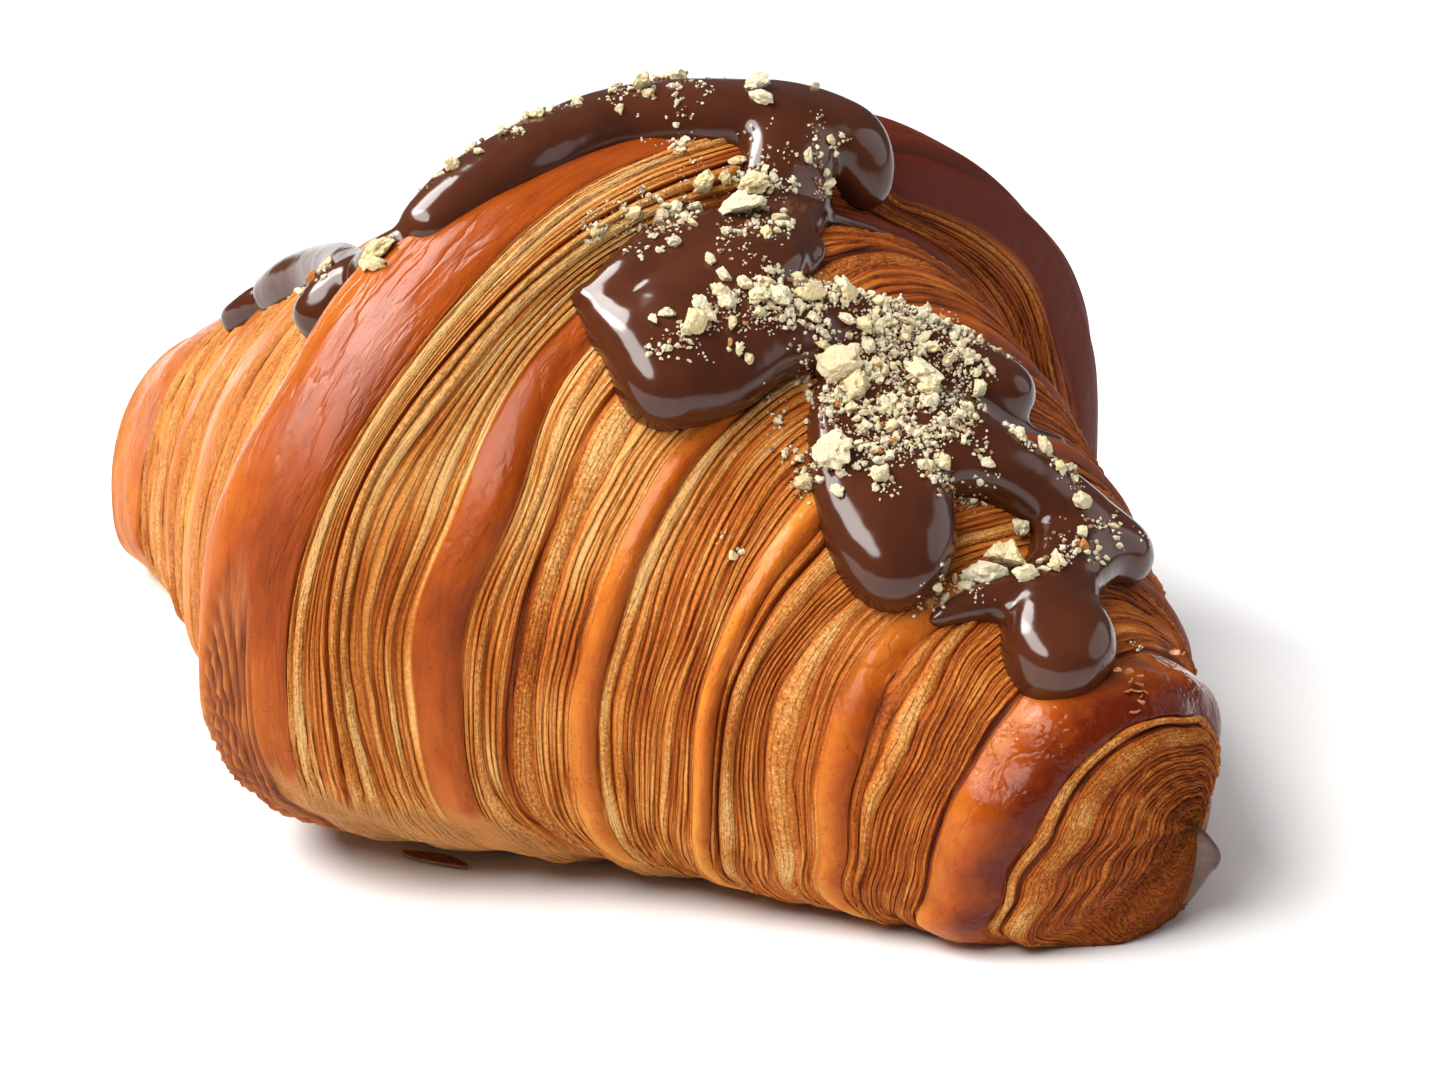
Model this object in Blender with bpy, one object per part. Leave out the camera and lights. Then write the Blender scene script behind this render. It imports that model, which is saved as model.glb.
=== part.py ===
"""A croissant with poured milk chocolate and chopped hazelnuts.

X runs along the roll from the far end to the near tip, -Y is its front side, +Z is up.
Lengths in the tables are millimetres; MM turns them into metres when a mesh is made.
A place on the pastry is a station along X and an angle: 0 at the back, 90 on the crest, 180 in front.
"""

import math
import random

import bpy
import numpy as np
from mathutils import Matrix, Vector
from mathutils.bvhtree import BVHTree

MM = 0.001

# The plain form: cross sections along the roll, before its steps and ridges.
END = 73.0
SECTION_AT = (-73.0, -62.0, -48.0, -34.0, -22.0, -12.0, 0.0, 9.0, 14.0, 20.0, 27.0, 35.0, 48.0, 62.0, 73.0)
FRONT_WIDTH = (13.9, 18.2, 26.0, 35.0, 42.2, 48.6, 58.2, 56.8, 54.6, 48.0, 42.0, 35.9, 28.4, 20.0, 13.2)
BACK_WIDTH = (13.9, 18.8, 26.3, 35.3, 42.9, 48.8, 56.0, 59.2, 59.6, 42.4, 38.2, 36.6, 30.4, 22.2, 11.8)
HEIGHT = (28.2, 34.7, 42.8, 51.0, 57.8, 62.9, 70.2, 70.7, 69.2, 63.5, 61.6, 53.1, 42.4, 31.3, 25.2)
WIDEST_AT = 0.37
UPPER_POWER = 0.95
LOWER_POWER = 2 / 2.95
FLAT = 0.7

# How far a turn of dough leans from a plain cross section: forward at the back, and forward on the crest.
LEAN_AT = (-73.0, -40.0, 0.0, 12.0, 22.0, 34.0, 48.0, 62.0, 73.0)
BACK_LEAN = (2.2, 1.3, 0.6, 1.2, 1.7, 2.0, 2.4, 2.2, 2.8)
CREST_LEAN = (-0.3, 0.0, 0.0, -0.5, -3.0, 0.0, 1.1, 1.0, 2.4)
NEAR_APEX = (77.8, 4.8, 12.4)
FAR_APEX = (-79.0, 2.0, 14.0)
CAP_RINGS = (0.16, 0.32, 0.48, 0.64, 0.8, 0.93)

# The turns of dough seen from end to end: smooth baked skin, and the cut edges of the layers between.
BANDS = (
    ("skin", -71.0, -62.5, 0.6),
    ("layers", -62.5, -49.0, 4),
    ("skin", -49.0, -44.0, 0.5),
    ("layers", -44.0, -34.0, 3),
    ("skin", -34.0, -30.0, 0.5),
    ("layers", -30.0, -10.8, 6),
    ("skin", -10.8, 8.9, 1.3),
    ("layers", 8.9, 19.9, 5),
    ("skin", 19.9, 23.4, 0.8),
    ("layers", 23.4, 32.6, 4),
    ("skin", 32.6, 34.6, 0.8),
    ("layers", 34.6, 42.7, 4),
    ("skin", 42.7, 44.9, 0.7),
    ("layers", 44.9, 54.8, 5),
    ("skin", 54.8, 57.2, 0.7),
    ("layers", 57.2, 65.3, 4),
    ("skin", 65.3, 71.6, 2.2),
)
SKIN_PROFILE = ((0.06, 0.1), (0.3, 0.85), (0.65, 1.0), (0.94, 0.35))
GROOVE = -0.9
RIDGE = (0.1, 0.6)
AROUND = 32
WANDER = 0.55

# The loose end of the dough strip on the front, a leaf that lies on the widest turn.
LEAF_ANGLE = (163.0, 171.0, 182.0, 197.0, 215.0, 235.0)
LEAF_NEAR = (3.0, 4.6, 5.0, 5.8, 5.2, 4.0)
LEAF_FAR = (2.4, 0.0, -1.6, -5.0, -9.0, -11.0)
LEAF_RISE = 1.1
LEAF_RIBS = 4

# The thin tongue of dough that stands out of the near end: its outline in X and Z, and its place in Y.
TONGUE = ((73.0, 12.0), (76.6, 12.2), (78.9, 9.2), (77.6, 7.0), (76.6, 5.2), (73.0, 3.6))
TONGUE_Y = 7.0
TONGUE_THICK = 1.2

# Poured chocolate: rows of station, angle, half width and thickness along each stroke.
STROKES = {
    "crest rope": (
        (0.2, 117.5, 3.4, 3.6), (0.2, 112, 4.2, 4.4), (0.5, 106, 4.5, 4.7), (0.2, 100, 4.6, 4.7),
        (0.8, 93, 4.9, 4.9), (3.6, 88, 5.5, 5.0), (6.6, 84, 5.9, 4.9), (9.8, 79.5, 6.0, 4.8),
        (12.4, 74.5, 5.4, 4.6), (14.9, 71.5, 4.5, 4.4), (16.2, 69.5, 3.6, 3.8),
    ),
    "neck": (
        (13.5, 81, 5.6, 4.0), (16.5, 82, 5.8, 3.8), (19.2, 83.5, 5.6, 3.6), (22.0, 87, 5.4, 3.4),
        (24.8, 92, 5.4, 3.2),
    ),
    "large lobe": (
        (25.6, 95, 5.8, 3.4), (26.2, 103, 6.2, 3.4), (26.8, 110, 6.4, 3.8), (27.4, 115, 6.4, 4.4),
        (28.2, 119, 6.0, 5.0), (28.8, 121.5, 5.2, 5.2),
    ),
    "large lobe top": (
        (22.6, 93, 5.0, 3.4), (21.8, 99, 5.2, 3.6), (22.0, 104, 5.2, 3.8), (22.1, 109, 4.6, 3.8),
        (21.0, 113, 2.8, 3.0), (19.3, 115.5, 1.4, 1.8),
    ),
    "large lobe side": ((20.6, 114.5, 2.2, 2.6), (23.4, 117, 3.4, 3.6), (26.2, 119.5, 4.2, 4.6), (28.4, 121.5, 5.0, 5.0)),
    "large lobe underside": (
        (28.8, 121, 5.4, 4.8), (29.8, 114, 6.2, 4.4), (30.2, 106, 5.6, 4.0), (31.2, 99, 5.0, 3.6),
        (32.2, 92, 4.8, 3.4), (33.6, 87, 4.6, 3.4),
    ),
    "right arm": (
        (33.6, 87, 4.6, 3.4), (35.5, 80, 4.7, 3.4), (37.8, 74, 4.6, 3.8), (39.8, 68, 3.9, 4.4),
    ),
    "trunk": (
        (35.6, 90, 4.8, 3.2), (38.6, 93, 6.0, 3.2), (42.2, 99.5, 7.4, 3.4), (45.4, 106, 7.4, 4.0),
        (48.2, 111, 6.8, 4.8), (49.9, 114.5, 5.6, 5.4),
    ),
    "near arm": (
        (41.0, 95, 6.6, 3.6), (43.4, 89.5, 6.4, 4.4), (45.6, 84, 4.8, 4.6), (48.0, 77, 4.4, 4.4),
        (51.5, 69, 4.8, 4.2), (53.8, 64, 4.9, 4.2), (55.0, 58, 4.0, 4.4),
    ),
    "near neck": ((54.2, 67, 5.0, 4.0), (56.4, 75, 4.8, 3.8), (58.8, 82, 4.2, 3.8), (60.8, 88, 4.6, 4.2)),
    "last drip": ((60.6, 88, 4.6, 4.0), (62.6, 93, 5.6, 4.8), (63.8, 96.5, 6.0, 5.4), (64.6, 100, 5.4, 5.4)),
    "curl": (
        (58.6, 84, 3.8, 3.4), (58.8, 90, 3.4, 3.0), (58.3, 98, 2.6, 2.6), (57.2, 107, 1.9, 2.0),
        (56.2, 117, 1.0, 1.4),
    ),
    "arm trail": ((41.6, 80, 2.8, 2.2), (42.8, 72, 1.7, 1.4), (43.4, 64, 1.1, 1.0), (43.2, 54, 0.8, 0.9)),
    "neck tail": ((24.6, 88, 3.6, 2.6), (26.8, 86, 1.5, 1.6), (28.2, 90, 0.9, 1.1)),
    "neck smear": ((20.0, 80, 2.8, 1.8), (21.8, 73, 1.2, 1.0), (23.4, 66, 0.8, 0.8)),
    "far strip": (
        (-44.5, 113.5, 2.8, 3.4), (-41.0, 112.5, 3.2, 3.8), (-36.0, 112, 3.1, 3.5), (-30.0, 114, 2.8, 3.1),
        (-22.0, 118, 2.5, 2.8), (-14.0, 121.5, 2.4, 2.6), (-8.0, 123, 2.4, 2.4), (-2.0, 122, 2.4, 2.4),
    ),
    "far bit": ((-51.0, 118, 1.9, 2.6), (-48.0, 114, 2.2, 2.8)),
    "second far lobe": (
        (-12.0, 131, 2.8, 3.8), (-11.8, 128.5, 3.2, 4.0), (-11.4, 125.5, 3.0, 3.6), (-10.6, 122.5, 2.6, 2.8),
        (-8.6, 121.5, 2.2, 2.4),
    ),
}
DAB_STEP = 1.1
CLEARANCE = 0.3
CHOCOLATE_VOXEL = 0.75
CHOCOLATE_FACES = 2250

# Chopped hazelnut: station, angle and length of the chunks that can be told apart.
CHUNKS = (
    (-0.2, 84, 5.4), (3.5, 90, 4.0), (1.2, 82, 2.8), (9.5, 82, 3.8), (10.8, 83, 3.0), (21.8, 93, 5.6),
    (16.2, 88, 4.0), (15.0, 93, 3.4), (15.5, 103, 3.0), (16.2, 100, 2.8), (27.5, 112, 2.8), (28.0, 115, 4.0),
    (28.2, 108, 2.8), (28.8, 104, 3.0), (29.5, 101, 3.4), (30.2, 96, 3.8), (29.2, 92, 2.8), (30.5, 90, 3.0),
    (31.0, 90, 2.8), (33.2, 91, 3.0), (36.2, 98, 5.6), (38.8, 99, 4.4), (39.5, 88, 5.6), (41.0, 89, 2.8),
    (42.0, 90, 2.8), (41.5, 110, 5.2), (41.8, 116, 3.4), (44.8, 108, 3.0), (36.0, 66, 2.8), (40.8, 77, 3.0),
    (47.0, 74, 2.9), (51.8, 72, 2.9), (52.0, 84, 3.0), (55.2, 92, 7.0), (56.2, 99, 4.8), (58.0, 94, 2.8),
    (-0.8, 124, 5.2), (0.5, 126, 2.8), (-16.2, 124, 3.2),
)
CHUNK_SINK = 0.15


def smooth_through(x, at, values):
    """A curve through the given points that never swings past them."""
    at = np.asarray(at, float)
    values = np.asarray(values, float)
    step = np.diff(at)
    rate = np.diff(values) / step
    slope = np.zeros(len(at))
    same_way = rate[:-1] * rate[1:] > 0
    first = 2 * step[1:] + step[:-1]
    second = step[1:] + 2 * step[:-1]
    safe_before = np.where(same_way, rate[:-1], 1.0)
    safe_after = np.where(same_way, rate[1:], 1.0)
    slope[1:-1] = np.where(same_way, (first + second) / (first / safe_before + second / safe_after), 0.0)
    slope[0] = rate[0]
    slope[-1] = rate[-1]
    x = np.clip(x, at[0], at[-1])
    i = np.clip(np.searchsorted(at, x, side="right") - 1, 0, len(step) - 1)
    t = (x - at[i]) / step[i]
    start = (1 + 2 * t) * (1 - t) ** 2 * values[i] + t * (1 - t) ** 2 * step[i] * slope[i]
    end = t * t * (3 - 2 * t) * values[i + 1] + t * t * (t - 1) * step[i] * slope[i + 1]
    return start + end


def signed_power(value, power):
    return np.sign(value) * np.abs(value) ** power


def wandered(station, angle):
    """Lets the edge of each turn of dough wander a little on its way round."""
    fade = np.clip((END - np.abs(station)) / 12, 0, 1)
    wave = np.sin(2 * angle + 0.35 * station) + 0.6 * np.sin(3 * angle - 0.21 * station + 1)
    return station + WANDER * fade * wave


def plain_form(station, angle):
    """Points of the plain form; a station past END closes towards the apex, END + 1 being the apex."""
    inner = np.clip(wandered(station, angle), -END, END)
    across = np.cos(angle)
    up = np.sin(angle)
    x = inner + smooth_through(inner, LEAN_AT, BACK_LEAN) * across
    x = x + smooth_through(inner, LEAN_AT, CREST_LEAN) * np.clip(up, -0.2, 1)
    front = smooth_through(inner, SECTION_AT, FRONT_WIDTH)
    back = smooth_through(inner, SECTION_AT, BACK_WIDTH)
    height = smooth_through(inner, SECTION_AT, HEIGHT) + FLAT
    middle = WIDEST_AT * height
    half = np.where(across > 0, back, front)
    above = up >= 0
    y = half * np.where(above, signed_power(across, UPPER_POWER), signed_power(across, LOWER_POWER))
    rise = (height - middle) * np.abs(up) ** UPPER_POWER
    fall = middle * np.abs(up) ** LOWER_POWER
    z = middle + np.where(above, rise, -fall) - FLAT
    cap = np.clip(np.abs(station) - END, 0, 1)
    keep = np.cos(cap * math.pi / 2) ** 0.75
    near = station > 0
    apex_x, apex_y, apex_z = (np.where(near, n, f) for n, f in zip(NEAR_APEX, FAR_APEX))
    return np.stack([apex_x + (x - apex_x) * keep**2, apex_y + (y - apex_y) * keep, apex_z + (z - apex_z) * keep], -1)


def outward(station, angle):
    """Unit normals of the plain form."""
    reach = 0.25
    stop = END + 0.97
    along = plain_form(np.minimum(station + reach, stop), angle) - plain_form(np.maximum(station - reach, -stop), angle)
    turn = 0.02
    around = plain_form(station, angle + turn) - plain_form(station, angle - turn)
    normal = np.cross(around, along)
    return normal / np.linalg.norm(normal, axis=-1, keepdims=True)


def ring_profile():
    """Stations of the rings along the roll, and how far the pastry rises or sinks at each."""
    draw = random.Random(11)
    rings = [(-END, -0.2)]
    for kind, start, end, amount in BANDS:
        width = end - start
        if kind == "skin":
            profile = SKIN_PROFILE if width > 3 else ((0.1, 0.2), (0.5, 1.0), (0.9, 0.3))
            if width > 12:
                profile = ((0.03, 0.0), (0.16, 0.6), (0.4, 0.9), (0.65, 1.0), (0.85, 0.8), (0.97, 0.2))
            rings += [(start + width * u, amount * rise) for u, rise in profile]
            continue
        for i in range(amount):
            crest = start + width * (i + 0.5 + draw.uniform(-0.12, 0.12)) / amount
            groove = start + width * (i + 1) / amount - 0.12
            last = i == amount - 1
            rings.append((crest, draw.uniform(*RIDGE)))
            rings.append((groove, GROOVE if last else draw.uniform(-0.55, -0.2)))
    rings.append((END, 0.1))
    return rings


def leaf_rise(station, angle):
    """Height of the loose leaf of dough, with ribs along it."""
    degrees = np.degrees(angle)
    near = np.interp(degrees, LEAF_ANGLE, LEAF_NEAR)
    far = np.interp(degrees, LEAF_ANGLE, LEAF_FAR)
    inside = np.minimum(near - station, station - far)
    ends = np.minimum(degrees - LEAF_ANGLE[0], LEAF_ANGLE[-1] - degrees) / 6
    edge = np.clip(np.minimum(inside / 0.8, ends), 0, 1)
    rib = 0.75 + 0.25 * np.cos(2 * math.pi * LEAF_RIBS * (station - far) / np.maximum(near - far, 0.5))
    return LEAF_RISE * edge * rib


def even_angles(count):
    """Angles that stand the same distance apart round a middle section, so no face is long."""
    fine = np.linspace(0, 2 * math.pi, 2881)
    section = plain_form(np.full(len(fine), 5.0), fine)
    run = np.concatenate([[0], np.cumsum(np.linalg.norm(np.diff(section, axis=0), axis=1))])
    return np.interp(np.arange(count) / count * run[-1], run, fine)


def pastry_mesh(name, lift):
    """The whole pastry as one closed skin of rings; lift swells it evenly."""
    cap = [(END + c, 0.4 if i % 2 else -0.5) for i, c in enumerate(CAP_RINGS)]
    rings = [(-s, r) for s, r in reversed(cap)] + ring_profile() + cap
    angles = even_angles(AROUND)
    station = np.repeat([s for s, _ in rings], AROUND).reshape(-1, AROUND)
    rise = np.repeat([r for _, r in rings], AROUND).reshape(-1, AROUND)
    angle = np.tile(angles, (len(rings), 1))
    size = np.clip(smooth_through(np.clip(station, -END, END), SECTION_AT, HEIGHT) / 45, 0.45, 1)
    underside = np.clip((np.sin(angle) + 1) * 4, 0.25, 1)
    height = rise * size * underside + leaf_rise(station, angle) + lift
    points = plain_form(station, angle) + outward(station, angle) * height[..., None]
    points[..., 2] = np.maximum(points[..., 2], -lift)
    vertices = points.reshape(-1, 3)
    apexes = np.array([FAR_APEX, NEAR_APEX]) + np.array([[-lift, 0, 0], [lift, 0, 0]])
    vertices = np.vstack([vertices, apexes])
    first_apex = len(vertices) - 2
    faces = []
    for i in range(len(rings) - 1):
        for j in range(AROUND):
            k = (j + 1) % AROUND
            corners = [i * AROUND + j, i * AROUND + k, (i + 1) * AROUND + k, (i + 1) * AROUND + j]
            if (i + j) % 2:
                corners = corners[1:] + corners[:1]
            faces.append((corners[0], corners[1], corners[2]))
            faces.append((corners[0], corners[2], corners[3]))
    last = (len(rings) - 1) * AROUND
    for j in range(AROUND):
        k = (j + 1) % AROUND
        faces.append((first_apex, k, j))
        faces.append((first_apex + 1, last + j, last + k))
    return mesh_object(name, vertices, faces)


def mesh_object(name, points, faces):
    mesh = bpy.data.meshes.new(name)
    mesh.from_pydata((np.asarray(points) * MM).tolist(), [], [tuple(int(i) for i in face) for face in faces])
    mesh.update()
    made = bpy.data.objects.new(name, mesh)
    bpy.context.scene.collection.objects.link(made)
    return made


def tongue_object():
    """The thin tongue of dough, a flat leaf of even thickness."""
    count = len(TONGUE)
    half = TONGUE_THICK / 2
    points = [(x, TONGUE_Y + 0.5 * (x - 76) + side * half, z) for side in (-1, 1) for x, z in TONGUE]
    faces = [tuple(range(count)), tuple(reversed(range(count, 2 * count)))]
    for i in range(count):
        k = (i + 1) % count
        faces.append((k, i, count + i, count + k))
    return mesh_object("tongue", points, faces)


def face_outwards(made):
    """Turns a closed mesh inside out if its faces look inwards."""
    volume = 0.0
    made.data.calc_loop_triangles()
    for triangle in made.data.loop_triangles:
        a, b, c = (made.data.vertices[i].co for i in triangle.vertices)
        volume += a.dot(b.cross(c))
    if volume < 0:
        made.data.flip_normals()


def stroke_dabs():
    """Places and sizes of the dabs that make up the poured strokes."""
    for rows in STROKES.values():
        rows = np.array(rows, float)
        angle = np.radians(rows[:, 1])
        places = plain_form(rows[:, 0], angle)
        run = np.concatenate([[0], np.cumsum(np.linalg.norm(np.diff(places, axis=0), axis=1))])
        count = max(2, int(run[-1] / DAB_STEP) + 1)
        at = np.linspace(0, run[-1], count)
        columns = [smooth_through(at, run, column) for column in (rows[:, 0], angle, rows[:, 2], rows[:, 3])]
        yield from zip(*columns)


def poured_chocolate():
    """One body of overlapping dabs, run together and rounded as poured chocolate is."""
    bpy.ops.mesh.primitive_ico_sphere_add(subdivisions=3, radius=1)
    ball = bpy.context.object
    unit = np.array([vertex.co for vertex in ball.data.vertices])
    ball_faces = np.array([polygon.vertices for polygon in ball.data.polygons])
    bpy.data.objects.remove(ball)
    points = []
    faces = []
    for station, angle, half_width, thickness in stroke_dabs():
        at = np.array([station]), np.array([angle])
        centre = plain_form(*at)[0]
        normal = outward(*at)[0]
        side = np.cross(normal, (0.0, 0.0, 1.0))
        side = side / np.linalg.norm(side)
        frame = np.stack([side * half_width, np.cross(normal, side) * half_width, normal * thickness])
        faces.append(ball_faces + len(unit) * len(points))
        points.append(centre + unit @ frame)
    made = mesh_object("chocolate", np.vstack(points), np.vstack(faces))
    face_outwards(made)
    add_modifier(made, "REMESH", mode="VOXEL", voxel_size=CHOCOLATE_VOXEL * MM)
    add_modifier(made, "SMOOTH", factor=0.5, iterations=8)
    apply_modifiers(made)
    return made


def add_modifier(made, kind, **settings):
    modifier = made.modifiers.new(kind.lower(), kind)
    for name, value in settings.items():
        setattr(modifier, name, value)
    return modifier


def apply_modifiers(made):
    """Bakes the modifiers into the object's own mesh."""
    graph = bpy.context.evaluated_depsgraph_get()
    baked = bpy.data.meshes.new_from_object(made.evaluated_get(graph))
    made.modifiers.clear()
    made.data = baked


def chunk_objects(chocolate):
    """Chopped hazelnut chunks half sunk in the top of the chocolate."""
    graph = bpy.context.evaluated_depsgraph_get()
    surface = BVHTree.FromObject(chocolate, graph)
    nuts = bpy.data.collections.new("chunks")
    draw = random.Random(5)
    for number, (station, degrees, length) in enumerate(CHUNKS):
        at = np.array([station]), np.radians([degrees])
        normal = Vector(outward(*at)[0])
        above = Vector(plain_form(*at)[0]) * MM + normal * 15 * MM
        hit = surface.ray_cast(above, -normal)[0]
        if hit is None or (above - hit).length > 15 * MM:
            continue
        bpy.ops.mesh.primitive_ico_sphere_add(subdivisions=1, radius=length / 2 * MM)
        chunk = bpy.context.object
        chunk.name = f"chunk {number}"
        for vertex in chunk.data.vertices:
            vertex.co *= draw.uniform(0.72, 1.12)
        spin = Matrix.Rotation(draw.uniform(0, 2 * math.pi), 4, "Z")
        squash = Matrix.Diagonal((1.0, draw.uniform(0.62, 0.85), draw.uniform(0.55, 0.75), 1.0))
        stand = normal.to_track_quat("Z", "Y").to_matrix().to_4x4()
        lift = Matrix.Translation(hit + normal * CHUNK_SINK * length * MM)
        chunk.data.transform(lift @ stand @ spin @ squash)
        for collection in list(chunk.users_collection):
            collection.objects.unlink(chunk)
        nuts.objects.link(chunk)
    return nuts


def finished_chocolate():
    """The poured chocolate with its underside on the pastry and its chunks fused on."""
    chocolate = poured_chocolate()
    swollen = pastry_mesh("swollen pastry", CLEARANCE)
    face_outwards(swollen)
    swollen.hide_render = True
    before = len(chocolate.data.polygons) * 2
    add_modifier(chocolate, "DECIMATE", ratio=min(1.0, CHOCOLATE_FACES / before * 1.9), use_collapse_triangulate=True)
    apply_modifiers(chocolate)
    nuts = chunk_objects(chocolate)
    add_modifier(chocolate, "BOOLEAN", operation="UNION", operand_type="COLLECTION", collection=nuts)
    add_modifier(chocolate, "BOOLEAN", operation="DIFFERENCE", object=swollen)
    apply_modifiers(chocolate)
    for chunk in list(nuts.objects):
        bpy.data.objects.remove(chunk)
    bpy.data.collections.remove(nuts)
    bpy.data.objects.remove(swollen)
    keep_largest_body(chocolate)
    return chocolate


def keep_largest_body(made):
    """Leaves out crumbs of chocolate that the cut parted from the rest."""
    mesh = made.data
    parent = list(range(len(mesh.vertices)))

    def root(i):
        while parent[i] != i:
            parent[i] = parent[parent[i]]
            i = parent[i]
        return i

    for edge in mesh.edges:
        a, b = (root(i) for i in edge.vertices)
        parent[a] = b
    roots = np.array([root(i) for i in range(len(parent))])
    largest = np.bincount(roots).argmax()
    points = np.array([vertex.co for vertex in mesh.vertices]) / MM
    kept = np.flatnonzero(roots == largest)
    index = {int(old): new for new, old in enumerate(kept)}
    faces = [tuple(index[i] for i in face.vertices) for face in mesh.polygons if face.vertices[0] in index]
    made.data = mesh_object("kept", points[kept], faces).data
    bpy.data.objects.remove(bpy.data.objects["kept"])


def material(name, colour, roughness):
    made = bpy.data.materials.new(name)
    made.use_nodes = True
    shader = made.node_tree.nodes["Principled BSDF"]
    shader.inputs["Base Color"].default_value = (*colour, 1.0)
    shader.inputs["Roughness"].default_value = roughness
    return made


def stand_on_origin(parts):
    """Moves all parts as one so that they stand on the floor, centred on the origin."""
    points = np.array([vertex.co for part in parts for vertex in part.data.vertices])
    middle = (points.min(axis=0) + points.max(axis=0)) / 2
    for part in parts:
        part.data.transform(Matrix.Translation((-middle[0], -middle[1], -points[:, 2].min())))
    print("moved by", (-middle / MM).round(3), "mm in X and Y, and", (-points[:, 2].min() / MM).round(3), "in Z")


def main():
    for old in list(bpy.data.objects):
        bpy.data.objects.remove(old)
    pastry = pastry_mesh("pastry", 0.0)
    face_outwards(pastry)
    tongue = tongue_object()
    face_outwards(tongue)
    add_modifier(pastry, "BOOLEAN", operation="UNION", object=tongue)
    apply_modifiers(pastry)
    bpy.data.objects.remove(tongue)
    chocolate = finished_chocolate()
    pastry.data.materials.clear()
    pastry.data.materials.append(material("baked dough", (0.55, 0.25, 0.08), 0.5))
    chocolate.data.materials.clear()
    chocolate.data.materials.append(material("milk chocolate", (0.12, 0.045, 0.022), 0.25))
    stand_on_origin([pastry, chocolate])
    for part in (pastry, chocolate):
        part.data.shade_smooth()
        part.data.set_sharp_from_angle(angle=math.radians(40))


main()
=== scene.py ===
"""The looks of a croissant with poured milk chocolate and chopped hazelnuts.

X runs along the roll from the far end to the near tip, -Y is its front side, +Z is up.
Lengths are millimetres and MM turns them into metres when a mesh is made.
A place on the pastry is a station along X and an angle: 0 at the back, 90 on the crest, 180 in front.
"""

import math
import random

import bmesh
import bpy
import numpy as np
from mathutils import Matrix, Vector, noise
from mathutils.bvhtree import BVHTree

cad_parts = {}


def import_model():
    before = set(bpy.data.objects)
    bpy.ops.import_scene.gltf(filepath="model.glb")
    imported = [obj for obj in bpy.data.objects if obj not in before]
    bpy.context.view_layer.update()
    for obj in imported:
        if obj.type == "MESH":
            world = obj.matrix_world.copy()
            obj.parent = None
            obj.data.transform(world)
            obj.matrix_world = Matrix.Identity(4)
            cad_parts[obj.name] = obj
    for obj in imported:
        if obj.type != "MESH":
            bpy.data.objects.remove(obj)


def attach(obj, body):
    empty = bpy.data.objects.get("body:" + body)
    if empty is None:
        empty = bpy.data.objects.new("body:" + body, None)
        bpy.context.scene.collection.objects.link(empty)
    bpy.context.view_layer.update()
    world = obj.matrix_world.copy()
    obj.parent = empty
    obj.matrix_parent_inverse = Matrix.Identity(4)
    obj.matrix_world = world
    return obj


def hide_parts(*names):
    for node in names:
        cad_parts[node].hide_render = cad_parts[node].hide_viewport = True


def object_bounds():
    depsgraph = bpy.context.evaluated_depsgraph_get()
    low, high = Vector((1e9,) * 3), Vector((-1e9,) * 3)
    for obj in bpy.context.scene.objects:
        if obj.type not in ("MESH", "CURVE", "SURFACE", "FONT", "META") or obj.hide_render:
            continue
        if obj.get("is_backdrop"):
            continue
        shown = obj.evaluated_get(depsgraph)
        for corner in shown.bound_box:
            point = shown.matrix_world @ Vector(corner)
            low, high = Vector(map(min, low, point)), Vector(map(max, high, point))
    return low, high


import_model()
CAD_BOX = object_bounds()

MM = 0.001
CENTRING = np.array([0.105, 0.256, 0.0])

# The plain form: cross sections along the roll, before its steps and ridges.
END = 73.0
SECTION_AT = (-73.0, -62.0, -48.0, -34.0, -22.0, -12.0, 0.0, 9.0, 14.0, 20.0, 27.0, 35.0, 48.0, 62.0, 73.0)
FRONT_WIDTH = (13.9, 18.2, 26.0, 35.0, 42.2, 48.6, 58.2, 56.8, 54.6, 48.0, 42.0, 35.9, 28.4, 20.0, 13.2)
BACK_WIDTH = (13.9, 18.8, 26.3, 35.3, 42.9, 48.8, 56.0, 59.2, 59.6, 42.4, 38.2, 36.6, 30.4, 22.2, 11.8)
HEIGHT = (28.2, 34.7, 42.8, 51.0, 57.8, 62.9, 70.2, 70.7, 69.2, 63.5, 61.6, 53.1, 42.4, 31.3, 25.2)
WIDEST_AT = 0.37
UPPER_POWER = 0.95
LOWER_POWER = 2 / 2.95
FLAT = 0.7
LEAN_AT = (-73.0, -40.0, 0.0, 12.0, 22.0, 34.0, 48.0, 62.0, 73.0)
BACK_LEAN = (2.2, 1.3, 0.6, 1.2, 1.7, 2.0, 2.4, 2.2, 2.8)
CREST_LEAN = (-0.3, 0.0, 0.0, -0.5, -3.0, 0.0, 1.1, 1.0, 2.4)
NEAR_APEX = (77.8, 4.8, 12.4)
FAR_APEX = (-79.0, 2.0, 14.0)
WANDER = 0.55
# How the ends close: the power of the rounding, and how far towards the apex the rows go.
CAP_POWER = 0.75
CONE_REACH = 0.97
# A normal is worked out from points this far away, in millimetres and radians, up to the last station.
NORMAL_REACH = 0.25
NORMAL_TURN = 0.02
LAST_STATION = END + 0.97

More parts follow.
